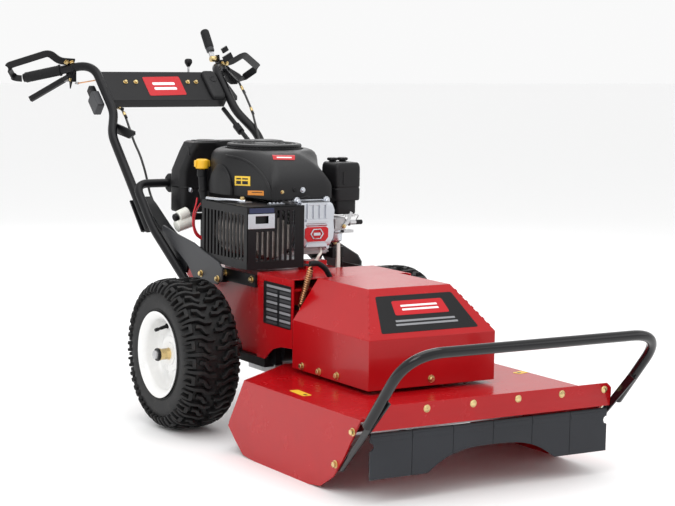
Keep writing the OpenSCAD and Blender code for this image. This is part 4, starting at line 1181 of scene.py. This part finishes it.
def make_tank():
    high = span("fuel_tank")[1]
    half, back, top = high.x, high.y, 158
    rings = [tank_ring(*level) for level in (
        (565.5, half - 8, 362, back - 8, 14), (567.5, half - 2, 357, back - 2, 18),
        (572, half, 356, back, 20), (690, half, 356, back, 22),
        (720, half - 5, 339, back - 16, 22), (750, half - 9, 320, back - 34, 22),
        (770, top + 1, 306, back - 47, 22), (778, top - 2, 304, back - 51, 20),
        (781.6, top - 9, 309, back - 58, 16))]
    lid = rings[-1]
    # The sunk well round the filler
    for radius, z in ((44, 781.6), (43, 783.4), (39, 783.4), (37, 781.5), (37, 768)):
        ways = [Vector((x - CAP_AT.x, y - CAP_AT.y)).normalized() * radius for x, y, _ in lid]
        rings.append([(CAP_AT.x + way.x, CAP_AT.y + way.y, z) for way in ways])
    piece = Piece()
    piece.rings(rings, PLASTIC)
    piece.done("tank_shell", "chassis", angle=35, stands_for=["fuel_tank"])

    # The seam flange, the ribs at the back, and the side panels
    trim = Piece()
    seam = ((638, half - 1, 354.5, back - 0.8, 22), (640, half, 353.5, back, 22),
            (643, half, 353.5, back, 22), (645, half - 1, 354.5, back - 0.8, 22))
    trim.rings([tank_ring(*level) for level in seam], PLASTIC)
    for x in (-60, 0, 60):
        for z0, z1 in ((590, 632), (650, 688)):
            trim.box((x - 3, back - 2.4, z0), (x + 3, back - 0.1, z1), PLASTIC)
    for side in (-1, 1):
        ends = sorted((side * (half - 0.4), side * (half - 2.4)))
        trim.box((ends[0], 372, 590), (ends[1], 428, 630), PLASTIC)
        trim.hull([(side * (top + 4), y, z) for y, z in ((330, 740), (372, 738), (366, 764),
                                                        (334, 766))]
                  + [(side * (top - 14), y, z) for y, z in ((334, 740), (368, 740), (362, 764),
                                                            (338, 764))], DARK_PLASTIC)
    trim.done("tank_mouldings", "chassis", bevel=1.0, angle=40)


STICK_AT = Vector((-166, 240, 706.3))


def make_caps():
    cap = Piece()
    cap.lathe([(21.5, -17), (21.5, 0.3), (31, 0.4), (33, 1.4), (33, 11), (31.5, 14.2), (27, 15.8),
               (10, 16), (0.01, 16)], CAP_AT, UP, DARK_PLASTIC, 48)
    for a in circle(30):
        edge = (CAP_AT.x + 33 * math.cos(a), CAP_AT.y + 33 * math.sin(a))
        cap.rod((*edge, CAP_AT.z + 1.5), (*edge, CAP_AT.z + 12.5), 1.5, DARK_PLASTIC, 8, 0.6)
    cap.done("tank_cap", "fuel_cap", bevel=0.5, angle=45,
             stands_for=["fuel_cap"])
    stick = Piece()
    stick.lathe([(8, -24), (8, 1), (17, 1), (19.4, 3), (19.4, 20), (18, 26), (14, 29.4),
                 (0.01, 29.6)], STICK_AT, UP, YELLOW, 40)
    stick.hull([(STICK_AT.x + x, STICK_AT.y + y, z) for half_x, half_y, levels in
                ((24, 5.5, (713, 731)), (16, 4, (734,))) for x in (-half_x, half_x)
                for y in (-half_y, half_y) for z in levels], YELLOW)
    stick.done("oil_dipstick", "dipstick", bevel=1.6, segments=3,
               stands_for=["dipstick"])
    tube = Piece()
    route = rounded([(-90, 200, 500), (-140, 222, 540), (-160, 236, 620), (-166, 240, 704)], 26, 8)
    tube.tube(route, 13.6, DARK_PLASTIC, 24)
    tube.rod((-166, 240, 684), (-166, 240, 705.5), 14.8, DARK_PLASTIC, 28, 1.5)
    tube.rod((-162.5, 237.5, 640), (-163, 238, 648), 15, DARK_PLASTIC, 28, 1)
    tube.done("filler_neck", "chassis", angle=40, stands_for=["oil_fill_tube"])


def make_canister():
    piece = Piece()
    for start, end, radius, paint in (((-208, 310, 561), (-175, 310, 574), 17, MILKY),
                                      ((-214, 310, 533), (-165, 310, 547), 19, MILKY),
                                      ((-222, 310, 556), (-208.4, 310, 560.8), 12, DARK_PLASTIC)):
        piece.rod(start, end, radius, paint, 40, 3)
    piece.done("vapour_canister", "chassis", angle=40,
               stands_for=["vent_canister"])
    wires = Piece()
    loops = [[(-176, 250, 620), (-186, 236, 604), (-200, 226, 580), (-206, 220, 548),
              (-200, 214, 516), (-178, 206, 500), (-150, 196, 492), (-120, 186, 486)],
             [(-160, 256, 604), (-178, 246, 590), (-192, 236, 566), (-196, 230, 538),
              (-186, 222, 512), (-160, 210, 500), (-130, 200, 490)]]
    for line in loops:
        wires.tube(rounded(line, 16, 5), 2.6, RED_WIRE, 10)
    wires.tube(rounded([(-150, 262, 470), (-184, 250, 476), (-204, 226, 470), (-214, 190, 452),
                        (-206, 150, 440)], 18, 5), 3.4, RUBBER, 10)
    wires.hull([(x, y, z) for x in (-160, -128) for y in (206, 232) for z in (470, 500)], RED)
    wires.rod((-176, 300, 640), (-168, 300, 640), 7, BRIGHT, 24, 1)
    wires.done("engine_wiring", "chassis", bevel=0.5, angle=45)


def make_spring():
    foot, head = Vector((-163, -333, 372)), Vector((-129, -333, 486))
    way, turns, steps = unit(head - foot), 17, 340
    side = unit(way.cross(Vector((0, 1, 0))))
    coil = [foot + way * (6 + 100 * k / steps)
            + (side * math.cos(TAU * turns * k / steps)
               + Vector((0, 1, 0)) * math.sin(TAU * turns * k / steps)) * 6.6
            for k in range(steps + 1)]
    piece = Piece()
    piece.tube([foot - way * 6, foot + way] + coil + [head - way * 4, head + way * 2], 2.3,
               COPPER, 8)
    piece.rod(head - way * 2, head + way * 6, 5, STEEL, 16, 1)
    piece.box((-137, -333, 482), (-113, -307, 487), BLACK)
    piece.box((-119, -313, 448), (-113, -307, 482.5), BLACK)
    piece.tube(rounded([(-134, -333, 490), (-112, -334, 492), (-84, -330, 476), (-66, -326, 450)],
                       14), 7.5, RUBBER, 14)
    piece.box((-168, -333, 364), (-160, -304, 376), BLACK)
    piece.done("idler_spring", "chassis", bevel=0.4, angle=50,
               stands_for=["tension_spring"])


# ------------------------------------------------------------------ cutting deck
def make_hood():
    low, high = span("deck_hood")
    half, front, rear = high.x, low.y, high.y
    z0, crease, top = 214, 343, high.z
    top_half, top_front, top_rear = 128.5, -617, -368
    outer = [(-half, front, z0), (half, front, z0), (half, rear, z0), (-half, rear, z0),
             (-half, front, crease), (half, front, crease), (half, rear, crease),
             (-half, rear, crease), (-top_half, top_front, top), (top_half, top_front, top),
             (top_half, top_rear, top), (-top_half, top_rear, top)]
    sheet = 3.5
    inner = [(x - math.copysign(sheet, x), y + (sheet if y < rear - 30 else 0),
              z - (sheet if z > 400 else 0)) for x, y, z in outer]
    skins = [(0, 1, 5, 4), (1, 2, 6, 5), (3, 0, 4, 7), (4, 5, 9, 8), (5, 6, 10, 9), (7, 4, 8, 11),
             (8, 9, 10, 11)]
    edge = [0, 1, 2, 6, 10, 11, 7, 3]
    piece = Piece()
    n = len(outer)
    rim = [(a, b, b + n, a + n) for a, b in zip(edge, edge[1:] + edge[:1])]
    piece.faces(outer + inner, skins + [tuple(i + n for i in f[::-1]) for f in skins] + rim, RED)
    piece.done("belt_hood", "deck", bevel=3.2, segments=4, angle=20,
               stands_for=["deck_hood"])

    slope = unit((0, top_front - front, top - crease))
    normal = Vector((0, -slope.z, slope.y))

    def on_slope(u, v, w):
        return Vector((u, front, crease)) + slope * v + normal * w

    decal = Piece()
    badge(decal, on_slope, [(-150, 18), (150, 18), (118, 136), (-118, 136)], 0.6, DECAL_BLACK)
    badge(decal, on_slope, [(-78, 118), (78, 118), (84, 72), (-84, 72)], 0.6, BADGE_RED, 0.5)
    for v in (88, 100):
        badge(decal, on_slope, [(-56, v + 4), (56, v + 4), (57, v - 2), (-57, v - 2)], 0.4,
              BADGE_WHITE, 1.0)
    for v, half_w in ((54, 92), (42, 96)):
        badge(decal, on_slope, four(-half_w, v + 3, half_w, v - 3), 0.4, DECAL_GREY, 0.5)
    decal.done("hood_decal", "deck")

    beads = Piece()
    for side in (-1, 1):
        start = Vector((side * half, front, crease))
        run = Vector((side * top_half, top_front, top)) - start
        for k in range(1, 8):
            bead = start + run * 0.12 * k
            beads.tube([bead, bead + unit(run) * 9], 1.5, RED, 8)
    beads.done("hood_stitch_welds", "deck", angle=60)


DECK_TOP, LIP_Y = 204.05, -1008


def make_deck():
    dress("deck_shell", RED, 2.0, 3)
    half = span("deck_shell")[1].x
    patches = Piece()
    for x, y, turn, size in ((-330, -626, 1.5, 40), (352, -640, 0.3, 20)):
        along = Vector((math.cos(turn), math.sin(turn), 0))
        corner = Vector((x, y, DECK_TOP))

        def on_top(u, v, w, along=along, corner=corner):
            return corner + along * u + Vector((-along.y, along.x, 0)) * v + Vector((0, 0, w))
        badge(patches, on_top, four(-size, -13, size, 13), 0.5, DECAL_YELLOW)
        badge(patches, on_top, four(-size + 6, -4, -size + 20, 4), 0.4, DECAL_BLACK, 0.4)
    patches.done("deck_labels", "deck")

    beads = Piece()
    for x in (5 - half, half - 5):
        for y in range(-940, -382, 62):
            beads.tube([(x, y, 198.6), (x, y + 18, 198.6)], 2.2, RED, 8)
    beads.done("deck_welds", "deck", angle=60)

    bolts = Piece()
    for x in range(-340, 341, 136):
        bolts.dome((x, LIP_Y, 222), (0, -1, 0), 8.6, 4.2, ZINC)
        bolts.rod((x, LIP_Y + 0.5, 222), (x, LIP_Y - 1, 222), 9.6, ZINC, 24, 0.5)
    bolts.bolt((-5, -733, 232), (0, -1, 0), 7.6, ZINC)
    for side in (-1, 1):
        for x, y, z in ((195.5, -404, 226), (195.5, -492, 226), (195.5, -582, 230),
                        (374.5, -949, 170), (374.5, -872, 76)):
            bolts.bolt((side * x, y, z), (side, 0, 0), 7.6, ZINC)
    bolts.done("deck_bolt_heads", "deck", bevel=0.5,
               stands_for=["deck_bolts"])


def make_front_lip():
    half, y = span("front_lip")[1].x, LIP_Y
    section = [(y + 40, 204.2), (y + 40, 208), (y + 6, 208), (y + 3.8, 210), (y + 3.8, 238.4),
               (y, 238.4), (y, 207), (y + 1.2, 204.5), (y + 4, 178.6), (y + 7.4, 178.6),
               (y + 6, 203), (y + 9, 204.2)]
    ends = ((-half, 225), (-half + 6, 232), (-half + 14, 239), (half - 14, 239), (half - 6, 232),
            (half, 225))
    piece = Piece()
    piece.rings([[(x, a, min(z, cut)) for a, z in section] for x, cut in ends], RED)
    piece.done("lip_sheet", "deck", bevel=0.9, angle=30, stands_for=["front_lip"])


def make_bumper():
    foot, corner = Vector((377, -1016, 196)), Vector((377, -1180, 390))
    piece = Piece()
    line = [foot, corner, sided(corner, -1), sided(foot, -1)]
    piece.tube(bent(line, (100, 100), 20), 13, GLOSS_BLACK, 32)
    for side in (-1, 1):
        low, high = sorted((side * 363.6, side * 369.3))
        piece.prism([(-868, 56), (-894, 62), (-1096, 262), (-1072, 272)], "x", low, high,
                    GLOSS_BLACK)
        end = Vector(sided(foot, side))
        piece.rod(end + Vector((0, 2, -2)), end + Vector((0, -10, 12)), 13, GLOSS_BLACK, 32, 3)
    piece.done("bumper_bar", "deck", bevel=1.2, angle=40,
               stands_for=["bumper"])


def make_flaps():
    """Six hanging rubber flaps under an arch. The outer two are notched round the side bolts."""
    hinge_z, low_z, arch_half, rise, face_y = 170, 61, 192, 52, -1000.6
    notch_at, notch_r = (357, 141), 10.5
    for i in range(1, 7):
        low, high = span("flap_%d" % i)
        x0, x1 = low.x, high.x
        outline = [(x, low_z + rise * (1 - min(1, abs(x) / arch_half) ** 3))
                   for x in steps_between(x0, x1, 24)]
        notch = [(notch_at[0] - notch_r * math.sin(a), notch_at[1] - notch_r * math.cos(a))
                 for a in (0.3, 0.9, 1.57, 2.2, 2.8)]
        if i == 6:
            outline += [(x1, 131)] + notch + [(x1, 151)]
        outline += [(x1, hinge_z + 2), (x0, hinge_z + 2)]
        if i == 1:
            outline += [(x0, 151)] + [(-x, z) for x, z in notch[::-1]] + [(x0, 131)]
        piece = Piece()
        piece.prism(outline, "y", face_y, face_y + 5.2, FLAP)
        piece.rod((x0, -998, hinge_z), (x1, -998, hinge_z), 2.9, DARK_PLASTIC, 16)
        piece.strap([(x0 + 3, -1000.8, 158), (x1 - 3, -1000.8, 158)], UP, 12, 1.2, FLAP)
        for x in steps_between(x0, x1, 4)[1:-1]:
            piece.dome((x, -1000.9, 158), (0, -1, 0), 2.4, 1.0, FLAP)
        piece.done("rubber_flap_%d" % i, "flap_%d" % i, bevel=0.9, angle=50,
                   stands_for=["flap_%d" % i])


# ------------------------------------------------------------------ frame
# CAD nodes that show as they are: name, finish, bevel, segments
DRESSED = (("frame_shell", RED, 1.6, 3), ("engine_plate", RED, 1.2, 2),
           ("lower_frame", BLACK, 1.2, 2), ("transaxle", ALLOY, 2.0, 2),
           ("gusset_plates", GREY, 1.0, 2), ("side_brackets", BLACK, 0.8, 2),
           ("engine_block", ALLOY, 0.8, 2), ("spindle_housing", BLACK, 1.0, 2),
           ("pivot_bracket", BLACK, 1.0, 2), ("spindle", STEEL, 0.5, 2),
           ("blade", STEEL, 0.5, 2), ("crankshaft", STEEL, 0.5, 2))


def make_frame():
    for row in DRESSED:
        dress(*row)

    label = Piece()

    def on_side(u, v, w):
        return (-190.2 - w, u, v)
    badge(label, on_side, four(-332, 312, -181, 430), 0.5, DECAL_BLACK)
    for row in range(10):
        v = 420 - row * 11
        bars = [(-330, 60), (-258, 60)] if row else [(-330, 132)]
        for u, length in bars:
            badge(label, on_side, four(u, v - 5, u + length, v + 2), 0.3,
                  GREY if row % 2 else DECAL_GREY, 0.4)
    label.done("data_label", "chassis")

    bolts = Piece()
    for side in (-1, 1):
        for x, y, z in ((233.1, 109, 417), (233.1, 8, 413), (197.2, 29, 426),
                        (197.2, -125, 426)):
            bolts.bolt((side * x, y, z), (side, 0, 0), 7.6, ZINC)
            bolts.rod((side * (x + 6), y, z), (side * (x + 9.5), y, z), 3.6, ZINC, 16, 0.5)
    for u in (-132, -96, 90, 120):
        bolts.bolt(on_console(u, 82, 4), CONSOLE_OUT, 5.6, ZINC)
        bolts.rod(on_console(u, 82, 8), on_console(u, 82, 11), 2.6, ZINC, 12, 0.4)
    bolts.done("chassis_bolt_heads", "chassis", bevel=0.5,
               stands_for=["chassis_bolts"])

    switch = Piece()
    turn = math.radians(42)
    along, out = Vector((0, math.cos(turn), math.sin(turn))), Vector((0, -math.sin(turn),
                                                                      math.cos(turn)))
    for base, outline, widths, paint in (
            (Vector((-253, 812, 839)), [(-1, 3), (3, -1), (59, -1), (63, 3), (63, 41), (59, 45),
                                        (3, 45), (-1, 41)], (-1.2, 23), GREY),
            (Vector((-249, 846, 884)), [(-1, 2), (2, -1), (38, -1), (41, 2), (41, 20), (36, 25),
                                        (4, 25), (-1, 20)], (-1, 19), DARK_PLASTIC)):
        switch.rings([[base + Vector((u, 0, 0)) + along * v + out * w for v, w in outline]
                      for u in widths], paint)
    switch.done("switch_box", "chassis", bevel=1.6, segments=3)


def make_belt():
    """The belt runs from the chassis to the deck, so it is built as one fixed loop that rides on
    neither body.
    """
    low, high = span("belt")
    z = (low.z + high.z) / 2
    crank_y, crank_r, spindle_y, spindle_r = CRANK_Y, 58, -612, 72.5
    lean = math.asin((spindle_r - crank_r) / (crank_y - spindle_y))
    front = [(crank_r * math.cos(a), crank_y + crank_r * math.sin(a))
             for a in steps_between(lean, math.pi - lean, 24)]
    rear = [(spindle_r * math.cos(a), spindle_y + spindle_r * math.sin(a))
            for a in steps_between(math.pi - lean, TAU + lean, 24)]

    def run(a, b):
        return [(a[0] + (b[0] - a[0]) * k / 40, a[1] + (b[1] - a[1]) * k / 40)
                for k in range(1, 40)]
    foot = (-spindle_r * math.cos(lean), spindle_y + spindle_r * math.sin(lean))
    line = front + run(front[-1], foot) + rear + run(rear[-1], front[0])
    section = ((-4, -3), (-4, 3), (3.4, 5.4), (3.9, 4.6), (3.9, -4.6), (3.4, -5.4))
    rings = []
    for i, (x, y) in enumerate(line):
        (px, py), (qx, qy) = line[i - 1], line[(i + 1) % len(line)]
        way = unit((qx - px, qy - py, 0))
        rings.append([(x + way.y * out, y - way.x * out, z + h) for out, h in section])
    piece = Piece()
    piece.rings(rings, RUBBER, closed=True)
    belt = piece.build("drive_belt")
    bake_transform(belt)
    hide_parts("belt")


for side_name, sign in (("right", -1), ("left", 1)):
    make_tyre(side_name, sign)
    make_rim(side_name, sign)
    make_hub(side_name, sign)
    make_handle(side_name, sign)
for make in (make_cross_tube, make_console, make_levers, make_cables, make_blower,
             make_fan_screen, make_guard, make_muffler, make_head, make_air_cleaner,
             make_carburettor, make_tank, make_caps, make_canister, make_spring, make_hood,
             make_deck, make_front_lip, make_bumper, make_flaps, make_frame, make_belt):
    make()
